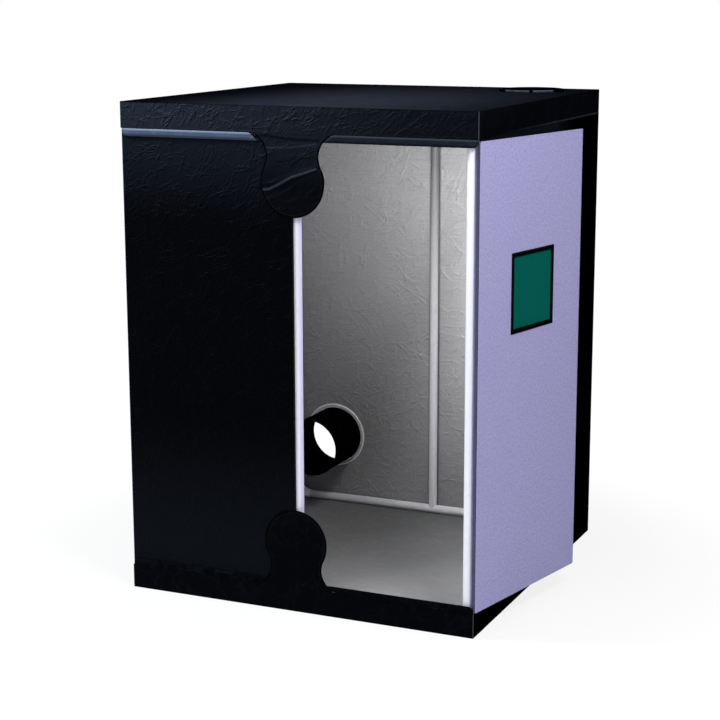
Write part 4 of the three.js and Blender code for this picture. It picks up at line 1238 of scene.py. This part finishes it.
def foldRise(across, drop, folds):
    height = np.zeros_like(across)
    for start, end, rise, above, below in folds:
        start, end = np.array(start) * mm, np.array(end) * mm
        run = end - start
        length = np.linalg.norm(run)
        way = run / length
        along = ((across - start[0]) * way[0] + (drop - start[1]) * way[1]) / length
        aside = (across - start[0]) * -way[1] + (drop - start[1]) * way[0]
        fade = np.exp(-(np.clip(abs(along - 0.5) - 0.3, 0, None) / 0.16) ** 2)
        spread = np.where(aside < 0, above, below) * mm
        height += rise * mm * fade * np.exp(-(aside / spread) ** 2)
    return height


def makeFlap(word, bandZ, away, folds, seed):
    look = flapLook
    rows = flapRows(look)
    front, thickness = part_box("top_band_front")[0].y, look["thickness"]
    drops, halves = np.array(rows).T
    share = np.linspace(-1, 1, look["columns"] + 1)
    drop = drops[:, None] + np.zeros_like(share)
    across = halves[:, None] * share
    marks = creases(across, drop, seed, look["creases"], look["creaseLength"], look["creaseWidth"])
    height = foldRise(across, drop, folds) + look["crease"] * marks
    height += look["swell"] * swells(across, drop, seed + 3, look["swellLength"])
    height *= np.clip(drop / look["rootFade"], 0, 1)
    outer = np.stack([across, front - height, bandZ + away * drop], -1)
    inner = outer + np.array([0, thickness, 0])
    material = clothFlap if word == "top" else clothLow
    body = word + "_flap"
    piece = addPiece(body + "_cloth", [skin(outer, inner)], material, body, "shell_cloth", body)

    # The bound border follows the flap's edge, and a row of stitches runs beside it
    step, columns = look["edgeStep"], look["columns"]
    edge = [outer[r, 0] for r in range(1, len(rows))]
    edge += [outer[-1, c] for c in range(step, columns - step + 1, step)]
    edge += [outer[r, -1] for r in range(len(rows) - 1, 0, -1)]
    edge = np.array(edge) + np.array([0, thickness / 2, 0])
    border = sweep(edge, oval(*look["border"]), (0, -1, 0))
    trim = addPiece(body + "_border", [border], binding, body, "binding_tape")
    toMiddle = np.array([0, 0, bandZ + away * flapBulbDrop(look)]) - edge
    toMiddle[:, 1] = 0
    seam = edge + toMiddle / np.linalg.norm(toMiddle, axis=1)[:, None] * look["seamInset"]
    row = beadRow("flap", seam[3:-3], (0, -1, 0), lift=thickness / 2 + look["seamRise"])
    stitches = addPiece(body + "_stitches", [row], thread, body, "binding_tape")
    makeHooks(word)


# The hook patch behind a flap: a base with rows of small hooks
hookLook = {"corner": 8 * mm, "pile": 0.7 * mm, "bevel": (0.3 * mm, 0.2 * mm), "rowPitch": 1.9 * mm,
            "margin": 3 * mm, "topMargin": 2.5 * mm, "sink": 0.1 * mm}


def makeHooks(word):
    look = hookLook
    low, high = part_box(word + "_flap_hook")
    middle, size = (low + high) / 2, high - low
    halfX, halfZ, corner = size.x / 2, size.z / 2, look["corner"]
    base = size.y - look["pile"]
    aside, deep = look["bevel"]
    loops = []
    for inset, y in ((aside, 0), (0, deep), (0, base - deep), (aside, base)):
        outline = roundedLoop(halfX - inset, halfZ - inset, corner - inset, 6)
        loops.append([(middle.x + x, low.y + y, middle.z + z) for x, z in outline])
    parts = [loopStack(loops)]
    for z in np.arange(low.z + look["margin"], high.z - look["topMargin"], look["rowPitch"]):
        reach = halfX - look["margin"] - max(0, abs(z - middle.z) - (halfZ - corner)) * 0.7
        line = [(middle.x - reach, low.y + base, z), (middle.x + reach, low.y + base, z)]
        parts.append(beadRow("hook", line, (0, 1, 0), lift=look["sink"]))
    return addPiece(word + "_hook_tape", parts, hooks, word + "_flap", "hook_tape", word + "_flap_hook")


makeFlap("top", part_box("top_band_front")[0].z, -1, topFolds, 401)
makeFlap("bottom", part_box("bottom_band_front")[1].z, 1, lowFolds, 431)
print("flaps made")


# Zip covers: padded strips that bulge to the front, cut on a slant beside the flaps
coverLook = {"slantLeft": (91 * mm, 75 * mm), "besideFlap": 2.3 * mm, "root": 3.2 * mm,
             "corner": {"left": 10 * mm, "right": 11 * mm}, "across": 16, "cell": 0.004, "overlap": 1.5 * mm,
             "seamAt": 0.16, "seamDip": 0.5 * mm, "seamSpread": 0.05, "wave": 0.35 * mm, "waveLength": 0.05,
             "endFade": 0.006, "stitchEnd": 4 * mm, "stitchSink": 0.9 * mm}


def makeCover(level, side):
    look = coverLook
    node = f"zip_cover_{level}_{side}"
    low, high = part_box(node)
    right, upper = side == "right", level == "top"
    sign, away, edgeZ = (1 if right else -1), (-1 if upper else 1), (high.z if upper else low.z)
    atBand, atOpening = look["slantLeft"]
    height = high.z - low.z + (look["overlap"] if upper else 0)
    outerEnd = high.x if right else -low.x
    share = np.linspace(0, 1, look["across"] + 1)
    drop = share * height
    start = atBand + (atOpening - atBand) * share
    if right:  # the end follows the flap's edge
        fromFillet = flapLook["filletDrop"] - drop
        start = flapLook["filletSide"] - np.sqrt(flapLook["fillet"] ** 2 - fromFillet ** 2)
        start = start + look["besideFlap"]
        atBand, atOpening = start[0], start[-1]
    corner = look["corner"][side]
    past = np.clip(drop - (height - corner), 0, None)
    end = outerEnd - corner + np.sqrt(np.clip(corner ** 2 - past ** 2, 0, None))
    t = np.linspace(0, 1, int((outerEnd - atOpening) / look["cell"]))
    x = start[:, None] + (end - start)[:, None] * t
    # A crowned section with a seam near the band, a slow wave, and ends that draw in
    bulge = high.y - low.y - look["root"]
    out = look["root"] + bulge * np.sqrt(np.clip(1 - (2 * share - 1) ** 2, 0, 1))
    out = out - look["seamDip"] * np.exp(-((share - look["seamAt"]) / look["seamSpread"]) ** 2)
    slow = swells(x, drop[:, None] + 0 * x, 501 + right + 2 * upper, look["waveLength"])
    wave = np.minimum(look["wave"] * (slow - 0.6), 0)
    nearEnd = np.minimum(t, 1 - t) * (outerEnd - atOpening)
    fade = 0.35 + 0.65 * np.clip(nearEnd / look["endFade"], 0, 1) ** 0.5
    least = look["root"] * 0.6
    out = least + (out[:, None] - least + wave) * fade
    z = (edgeZ + away * drop)[:, None] + 0 * x
    outer = np.stack([sign * x, high.y - out, z], -1)
    inner = np.stack([sign * x, np.full_like(x, high.y), z], -1)
    material = {"topleft": coverLit, "topright": coverShaded}.get(level + side, coverLow)
    piece = addPiece(f"{level}_{side}_cover_strip", [skin(outer, inner)], material, "root", "shell_cloth",
                     node, sharp=50)
    row = [(sign * x, high.y - look["root"] - look["stitchSink"], edgeZ + away * look["seamAt"] * height)
           for x in (atBand + look["stitchEnd"], outerEnd - look["stitchEnd"])]
    stitches = [beadRow("cover", row, (0, -1, 0), lift=0.25 * mm)]
    addPiece(f"{level}_{side}_cover_stitches", stitches, jambTape if upper and not right else thread, "root",
             "binding_tape")


for level in ("top", "bottom"):
    for side in ("left", "right"):
        makeCover(level, side)


# The zip halves on the bands: a folded tape behind the band and a row of teeth in the doors' plane. Reaches
# are measured away from the door's edge.
fixedZipLook = {"gap": 0.3 * mm, "coil": 3 * mm, "fold": 5 * mm, "reach": 14.7 * mm, "tape": 0.8 * mm}


def makeFixedZip(level):
    look = fixedZipLook
    node = f"zip_{level}_fixed"
    low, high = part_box(node)
    away = 1 if level == "top" else -1
    doorLow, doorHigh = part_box("left_door_zip")
    edge = (doorHigh.z if level == "top" else doorLow.z) + away * look["gap"]
    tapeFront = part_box("top_band_front")[1].y + look["gap"]
    tapeBack = tapeFront + look["tape"]
    coil, fold, end = look["coil"], look["fold"], look["reach"]
    profile = [(doorHigh.y, 0), (doorHigh.y, fold), (tapeBack, fold), (tapeBack, end), (tapeFront, end),
               (tapeFront, coil), (doorLow.y, coil), (doorLow.y, 0)]
    loops = [[(x, y, edge + away * reach) for y, reach in profile] for x in stations([low.x, high.x], 0.05)]
    line = [(x, (doorLow.y + doorHigh.y) / 2, edge + away * coil / 2) for x in (low.x, high.x)]
    parts = [loopStack(loops), beadRow("bandTeeth", line, (0, -1, 0))]
    addPiece(f"{level}_zip_strip", parts, tape, "root", "zip_tape", node, sharp=50)


makeFixedZip("top")
makeFixedZip("bottom")
print("zip made")


# The slider: two plates on a web, and a pull on a loop
sliderLook = {"half": 3.5 * mm, "halfHigh": 5 * mm, "plate": 0.5 * mm, "gap": 0.3 * mm, "web": 0.3 * mm,
              "edge": 0.2 * mm, "webEdge": 0.05 * mm, "loop": (0.9 * mm, 0.25 * mm), "pull": 2.5 * mm,
              "pullOut": 0.4 * mm, "pullThick": 0.4 * mm, "pullBevel": 0.15 * mm, "pullSides": 24}


def makeSlider():
    look = sliderLook
    low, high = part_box("zip_slider")
    doorLow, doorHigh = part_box("left_door_zip")
    half, tall, plate = look["half"], look["halfHigh"], look["plate"]
    centreZ = high.z - tall
    front, back = doorLow.y - look["gap"], doorHigh.y + look["gap"]
    parts = [softBox((-wide, nearY, centreZ - tall), (wide, farY, centreZ + tall), edge, segments)
             for wide, nearY, farY, edge, segments in ((half, front - plate, front, look["edge"], 2),
                                                       (half, back, back + plate, look["edge"], 2),
                                                       (look["web"], front, back, look["webEdge"], 1))]
    bridge = [(0, front - plate - out * mm, centreZ + up * mm)
              for out, up in ((-0.1, 3), (0.55, 2), (0.55, -2), (-0.1, -3))]
    parts.append(sweep(bridge, oval(*look["loop"], 8), (0, -1, 0)))
    loops = []
    thick, bevel = look["pullThick"], look["pullBevel"]
    for inset, out in ((bevel, thick), (0, thick - bevel), (0, bevel - thick), (bevel, -thick)):
        loop = []
        for x, z in zip(*circle(look["pull"] - inset, look["pullSides"])):
            middleZ = centreZ - look["pull"] if z > 0 else low.z + look["pull"]
            loop.append((x, front - plate - look["pullOut"] - out, middleZ + z))
        loops.append(loop)
    parts.append(loopStack(loops))
    addPiece("zip_slider_metal", parts, metal, "zip_slider", "slider_metal", "zip_slider")


makeSlider()

# Duct sleeves: cloth tubes with gathers, a hem at each mouth and a sewn ring in the wall
portLook = {"bore": 64.9 * mm, "outer": 66.4 * mm, "hem": 1.2 * mm, "hemLength": 8 * mm, "hemEdge": 1.2 * mm,
            "ring": 76.5 * mm, "ringThickness": 2 * mm, "ringGap": 0.3 * mm, "ripple": 0.25 * mm,
            "cord": 0.9 * mm, "cordInset": 2.2 * mm, "roll": 2.4 * mm, "rollOut": 1.3 * mm,
            "rollDown": 2.6 * mm, "sides": 144, "gather": 0.5 * mm, "cell": 3 * mm, "besideWall": 4 * mm,
            "calmFrom": 6 * mm, "calmReach": 0.02}


def makePort(word, first, second, way, seed):
    look = portLook
    way = Vector(way)
    low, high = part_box(word + "_port_sleeve")
    centre = (low + high) / 2
    centre -= way * centre.dot(way)
    start, end = low.dot(way), high.dot(way)
    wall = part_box({"back": "back_wall_lining", "roof": "roof_lining"}[word])[0].dot(way)
    centre, first, second, way = (np.array(vector) for vector in (centre, first, second, way))
    angles = ringAngles(look["sides"])
    hemEnd = start + look["hemLength"]
    along = stations([start, hemEnd, wall - look["besideWall"], wall + look["besideWall"], end], look["cell"])
    chance = np.random.default_rng(seed)
    waves = [(k, chance.uniform(0, math.tau), chance.uniform(0.4, 1)) for k in (3, 5, 8, 13)]

    # The cloth is gathered along its free length, and taut where it is sewn into the wall
    def gathered(s):
        calmShare = min(1, max(0, (wall - look["calmFrom"] - s) / look["calmReach"])) if s < wall else 0
        gather = sum(size * np.sin(k * angles + shift + 9 * s * k) for k, shift, size in waves) / 4
        pinch = 0.5 + 0.5 * np.sin(s / 0.006 + 2 * np.sin(2 * angles))
        return look["gather"] * calmShare * (gather + 0.5 * pinch - 0.9)

    def loop(radius, s):
        across, up = np.outer(radius * np.cos(angles), first), np.outer(radius * np.sin(angles), second)
        return centre + across + up + way * s

    def cord(radius, level, size):  # a round section, as loops about the sleeve's axis
        section = zip(*circle(size, 10))
        return loopStack([loop(radius + out, level + deep) for out, deep in section], ring=True)

    outerLoops, innerLoops = [], []
    for s in along:
        rise = look["hem"] if s < hemEnd + 0.1 * mm else 0
        soft = 0.6 * mm * max(0, 1 - (s - start) / look["hemEdge"])
        outerLoops.append(loop(look["outer"] + rise - soft + gathered(s), s))
        innerLoops.append(loop(look["bore"] + soft * 0.5 + gathered(s), s))
    if word == "roof":
        roll = cord(look["outer"] + look["rollOut"], end - look["rollDown"], look["roll"])
        addPiece("roof_sleeve_roll", [roll], rollCloth, "root", "sleeve_cloth")
    tube = loopStack(outerLoops + innerLoops[::-1], ring=True)
    piece = addPiece(word + "_sleeve_cloth", [tube], sleeveCloth, "root", "sleeve_cloth",
                     word + "_port_sleeve")
    around = loop(look["outer"] + look["hem"] + 0.05 * mm, start + look["hemLength"] * 0.7)
    rows = []
    for i in range(0, look["sides"], 2):
        a, b = around[i], around[(i + 1) % look["sides"]]
        rows.append(beadRow("sleeve", [a, b], np.cross(way, b - a)))
    stitches = addPiece(word + "_sleeve_stitches", rows, thread, "root", "sleeve_cloth")

    # The sewn ring in the wall, with a cord along its edge
    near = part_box(word + "_port_ring")[0].dot(Vector(way))
    thick, inner, outer = look["ringThickness"], look["outer"] + look["ringGap"], look["ring"]
    profile = [(inner, thick), (inner, 0.7 * mm), (inner + 0.8 * mm, 0.1 * mm), (inner + 3 * mm, 0),
               (outer - 3 * mm, 0.1 * mm), (outer - 1 * mm, 0.5 * mm), (outer, 1.3 * mm), (outer, thick)]
    ripple = look["ripple"] * np.maximum(np.sin(29 * angles + 2 * np.sin(3 * angles)), 0)
    loops = [loop(radius, near + depth) + np.outer(ripple * (depth < thick), way)
             for radius, depth in profile]
    ring = addPiece(word + "_port_seam", [loopStack(loops, ring=True)], filmRound, "root", "ring_cloth",
                    word + "_port_ring")
    ringCord = cord(outer - look["cordInset"], near, look["cord"])
    addPiece(word + "_port_cord", [ringCord], filmCord, "root", "ring_cloth")


makePort("back", (1, 0, 0), (0, 0, 1), (0, 1, 0), 601)
makePort("roof", (1, 0, 0), (0, 1, 0), (0, 0, 1), 631)
print("duct ports made")

# Seams, cords and jambs that only the looks need
trimLook = {"cornerCord": 0.75 * mm, "cornerInset": 0.3 * mm, "roofCord": 0.9 * mm, "roofInset": 0.4 * mm,
            "roofDown": 0.7 * mm, "seamZ": 743.6 * mm, "seam": (2.2 * mm, 0.28 * mm), "seamFrom": 30 * mm,
            "hingeCord": 0.45 * mm, "bandStitchLow": 3.5 * mm, "bandStitchTop": 6 * mm,
            "bandStitchEnd": 3 * mm}
# Profiles in millimetres: the side band's folded edge, out and up; the jamb's tape, inwards and back
bandFold = ((0, 0), (0.9, 0.5), (0.9, 2.4), (0, 4))
jambTapeProfile = ((4.6, 1.3), (0.2, 1.1), (0.2, 2.2), (4.6, 2.2))


def makeCornerCord(name, signX, signY, stretches):
    size, inset = trimLook["cornerCord"], trimLook["cornerInset"]
    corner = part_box("roof_panel")[1]
    x, y = signX * (corner.x - inset), signY * (corner.y - inset)
    out = Vector((signX, signY, 0)).normalized()
    cords = []
    for low, high in stretches:
        line = [(x, y, z) for z in stations([low, high], 0.02)]
        cords.append(sweep(line, oval(size, size, 8), out))
    addPiece(name + "_corner_cord", cords, seamTape, "root", "shell_cloth")


def makeRoofCord(x, y, z):
    corners = [(1, -1), (1, 1), (-1, 1), (-1, -1)]
    edge = []
    for (startX, startY), (endX, endY) in zip(corners, corners[1:] + corners[:1]):
        for share in np.arange(40) / 40:
            edge.append((x * (startX + (endX - startX) * share), y * (startY + (endY - startY) * share), z))
    section = oval(trimLook["roofCord"], trimLook["roofCord"], 8)
    addPiece("roof_edge_cord", [sweep(edge, section, (0, 0, 1), ring=True)], clothFlat, "root", "shell_cloth")


# The side bands' lower edge is folded up, in a paler cloth that is a painted highlight; a raised seam runs
# along each wall
def makeSideTrim(word, sign, x, y, bandLow):
    look = trimLook
    loops = [[(sign * (x + out * mm), place, bandLow + up * mm) for out, up in bandFold]
             for place in stations([-y + 1 * mm, y - 1 * mm], 0.01)]
    addPiece(f"{word}_band_fold", [loopStack(loops)], clothFold, "root", "shell_cloth")
    seam = [(sign * (x + 0.05 * mm), place, look["seamZ"])
            for place in stations([-y + look["seamFrom"], y - 1 * mm], 0.01)]
    parts = [sweep(seam, oval(*look["seam"], 8), (sign, 0, 0)),
             beadRow("wall", seam, (sign, 0, 0), lift=0.25 * mm)]
    addPiece(f"{word}_wall_seam", parts, clothSide, "root", "shell_cloth")


# A strip on one side of the tent, between two distances from its middle
def sideStrip(sign, reachX, reachY, reachZ, radius):
    lowX, highX = sorted((sign * reachX[0], sign * reachX[1]))
    return softBox((lowX, reachY[0], reachZ[0]), (highX, reachY[1], reachZ[1]), radius, 1)


# Jambs: the wall's front edge is bound with a stitched tape, and a seam runs up the hinge line
def makeJamb(word, sign, x):
    doorLow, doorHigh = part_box("left_door_zip")
    low, high = doorLow.z, doorHigh.z
    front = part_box("left_wall_lining")[0].y
    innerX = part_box("right_wall_lining")[0].x
    loops = []
    for z in stations([low + 1 * mm, high - 1 * mm], 0.006):
        wave = 0.15 * mm * math.sin(z / 0.0011)
        loop = [[sign * (innerX - inward * mm), front + back * mm, z] for inward, back in jambTapeProfile]
        loop[-1][1] += wave
        loops.append(loop)
    line = [(sign * (innerX - 1.3 * mm), front + 1.1 * mm, z) for z in (low + 2 * mm, high - 2 * mm)]
    lip = sideStrip(sign, (innerX - 1 * mm, innerX + 1.3 * mm), (front - 0.14 * mm, front - 0.02 * mm),
                    (low + 4 * mm, high - 4 * mm), 0.03 * mm)
    parts = [loopStack(loops), lip, beadRow("jamb", line, (0, -1, 0))]
    addPiece(f"{word}_jamb_tape", parts, jambTape, "root", "binding_tape")
    size = trimLook["hingeCord"]
    hingeX, hingeY, _ = jointOf[word + "_door"]["pos_m"]
    cord = [(hingeX, hingeY, z) for z in stations([low, high], 0.02)]
    strip = sideStrip(sign, (x - size, x), (hingeY + 0.4 * mm, front - 0.05 * mm), (low, high), 0.1 * mm)
    parts = [sweep(cord, oval(size, size, 8), (0, -1, 0)), strip]
    addPiece(f"{word}_hinge_seam", parts, jambTape, "root", "binding_tape")


def makeTrim():
    look = trimLook
    x, y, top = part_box("roof_panel")[1]
    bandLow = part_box("top_band_front")[0].z
    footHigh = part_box("bottom_band_front")[1].z
    bottom, bandTop = 0.5 * mm, top - 1 * mm
    sides = (("left", -1), ("right", 1))
    for word, sign in sides:
        makeCornerCord("front_" + word, sign, -1, ((bandLow, bandTop), (bottom, footHigh)))
        makeCornerCord("back_" + word, sign, 1, ((bottom, bandTop),))
    makeRoofCord(x - look["roofInset"], y - look["roofInset"], top - look["roofDown"])
    for word, sign in sides:
        makeSideTrim(word, sign, x, y, bandLow)
    for word, sign in sides:
        makeJamb(word, sign, x)
    end = x - look["bandStitchEnd"]
    rows = [beadRow("band", [(-end, -y, z), (end, -y, z)], (0, -1, 0))
            for z in (bandLow + look["bandStitchLow"], top - look["bandStitchTop"])]
    return addPiece("front_band_stitches", rows, thread, "root", "shell_cloth")


# The fold's paler cloth is a painted highlight, fading to deep black towards the front
clothFold = shellCloth("blackClothFold", "side", dark=(0.014, 0.016, 0.022), pale=(0.028, 0.032, 0.042),
                       deep=(0.0015, 0.0018, 0.0026), fade=("X", -0.36, 0.25, 0.0), crinkleRise=0.0002,
                       gloss=0.0)
bandStitches = makeTrim()
print("trim made")

# Floor, backdrop and light. Camera, glossy and transmitted rays see white, and the floor keeps the shadow.
stageLook = {"floorSize": 30.0, "floorDrop": 0.5 * mm, "floorColor": (0.86, 0.86, 0.87), "whiteShare": 0.82,
             "white": 1.02, "world": 0.28, "shadowReach": (0.55, 1.0)}
lamps = [
    {"name": "keyLamp", "place": (1.3, -1.2, 1.9), "aim": (0.4, -0.1, 0.85), "size": 0.6, "power": 25,
     "color": (1, 0.99, 1)},
    {"name": "sheenLamp", "place": (-1.4, -2.3, 1.05), "aim": (-0.3, -0.37, 0.95), "size": 0.5, "power": 5,
     "color": (0.75, 0.87, 1)},
    {"name": "edgeLamp", "place": (-1.0, -0.78, 1.85), "aim": (-0.2, -0.37, 0.97), "size": 0.25, "power": 24,
     "color": (0.88, 0.94, 1)},
    {"name": "topLamp", "place": (0.2, -0.2, 3.0), "aim": (0, 0, 0.5), "size": 1.6, "power": 20,
     "color": (1, 1, 1)},
    {"name": "cabinLamp", "place": (0.2, -0.1, 0.8), "aim": (0.15, 0.37, 0.55), "size": 0.15, "power": 3.2,
     "color": (1, 1, 1)},
]


def seenDirectly(tree):
    path = addNode(tree, "ShaderNodeLightPath")
    both = maths(tree, "MAXIMUM", path.outputs["Is Camera Ray"], path.outputs["Is Glossy Ray"])
    return maths(tree, "MAXIMUM", both, path.outputs["Is Transmission Ray"])


def makeStage(look):
    world = bpy.data.worlds.new("studio")
    world.use_nodes = True
    tree = world.node_tree
    background = tree.nodes["Background"]
    background.inputs["Color"].default_value = (1, 1, 1, 1)
    share = seenDirectly(tree)
    strength = maths(tree, "ADD", maths(tree, "MULTIPLY", share, 1 - look["world"]), look["world"])
    tree.links.new(strength, background.inputs["Strength"])
    bpy.context.scene.world = world
    material, tree, shader = newMaterial("paleFloor", Roughness=0.9, Specular_IOR_Level=0.1,
                                         Base_Color=look["floorColor"])
    glow = addNode(tree, "ShaderNodeEmission", values={"Color": (1, 1, 1, 1), "Strength": look["white"]})
    mixed = addNode(tree, "ShaderNodeMixShader")
    place = addNode(tree, "ShaderNodeTexCoord").outputs["Object"]
    away = addNode(tree, "ShaderNodeVectorMath", {0: place}, operation="LENGTH")
    share = remap(tree, away.outputs["Value"], *look["shadowReach"], look["whiteShare"], 1.0)
    tree.links.new(maths(tree, "MULTIPLY", seenDirectly(tree), share), mixed.inputs[0])
    tree.links.new(shader.outputs[0], mixed.inputs[1])
    tree.links.new(glow.outputs[0], mixed.inputs[2])
    tree.links.new(mixed.outputs[0], tree.nodes["Material Output"].inputs["Surface"])
    half = look["floorSize"] / 2
    mesh = bpy.data.meshes.new("paleFloor")
    corners = [(-half, -half, 0), (half, -half, 0), (half, half, 0), (-half, half, 0)]
    mesh.from_pydata(corners, [], [(0, 1, 2, 3)])
    mesh.materials.append(material)
    floor = bpy.data.objects.new("paleFloor", mesh)
    floor.location.z = -look["floorDrop"]
    bpy.context.scene.collection.objects.link(floor)


def makeLamp(look):
    data = bpy.data.lights.new(look["name"], "AREA")
    data.shape = "DISK"
    data.size = look["size"]
    data.energy = look["power"]
    data.color = look["color"]
    lamp = bpy.data.objects.new(look["name"], data)
    lamp.location = look["place"]
    way = Vector(look["aim"]) - Vector(look["place"])
    lamp.rotation_euler = way.to_track_quat("-Z", "Y").to_euler()
    bpy.context.scene.collection.objects.link(lamp)


makeStage(stageLook)
for lampLook in lamps:
    makeLamp(lampLook)
bpy.context.scene.view_settings.view_transform = "Standard"
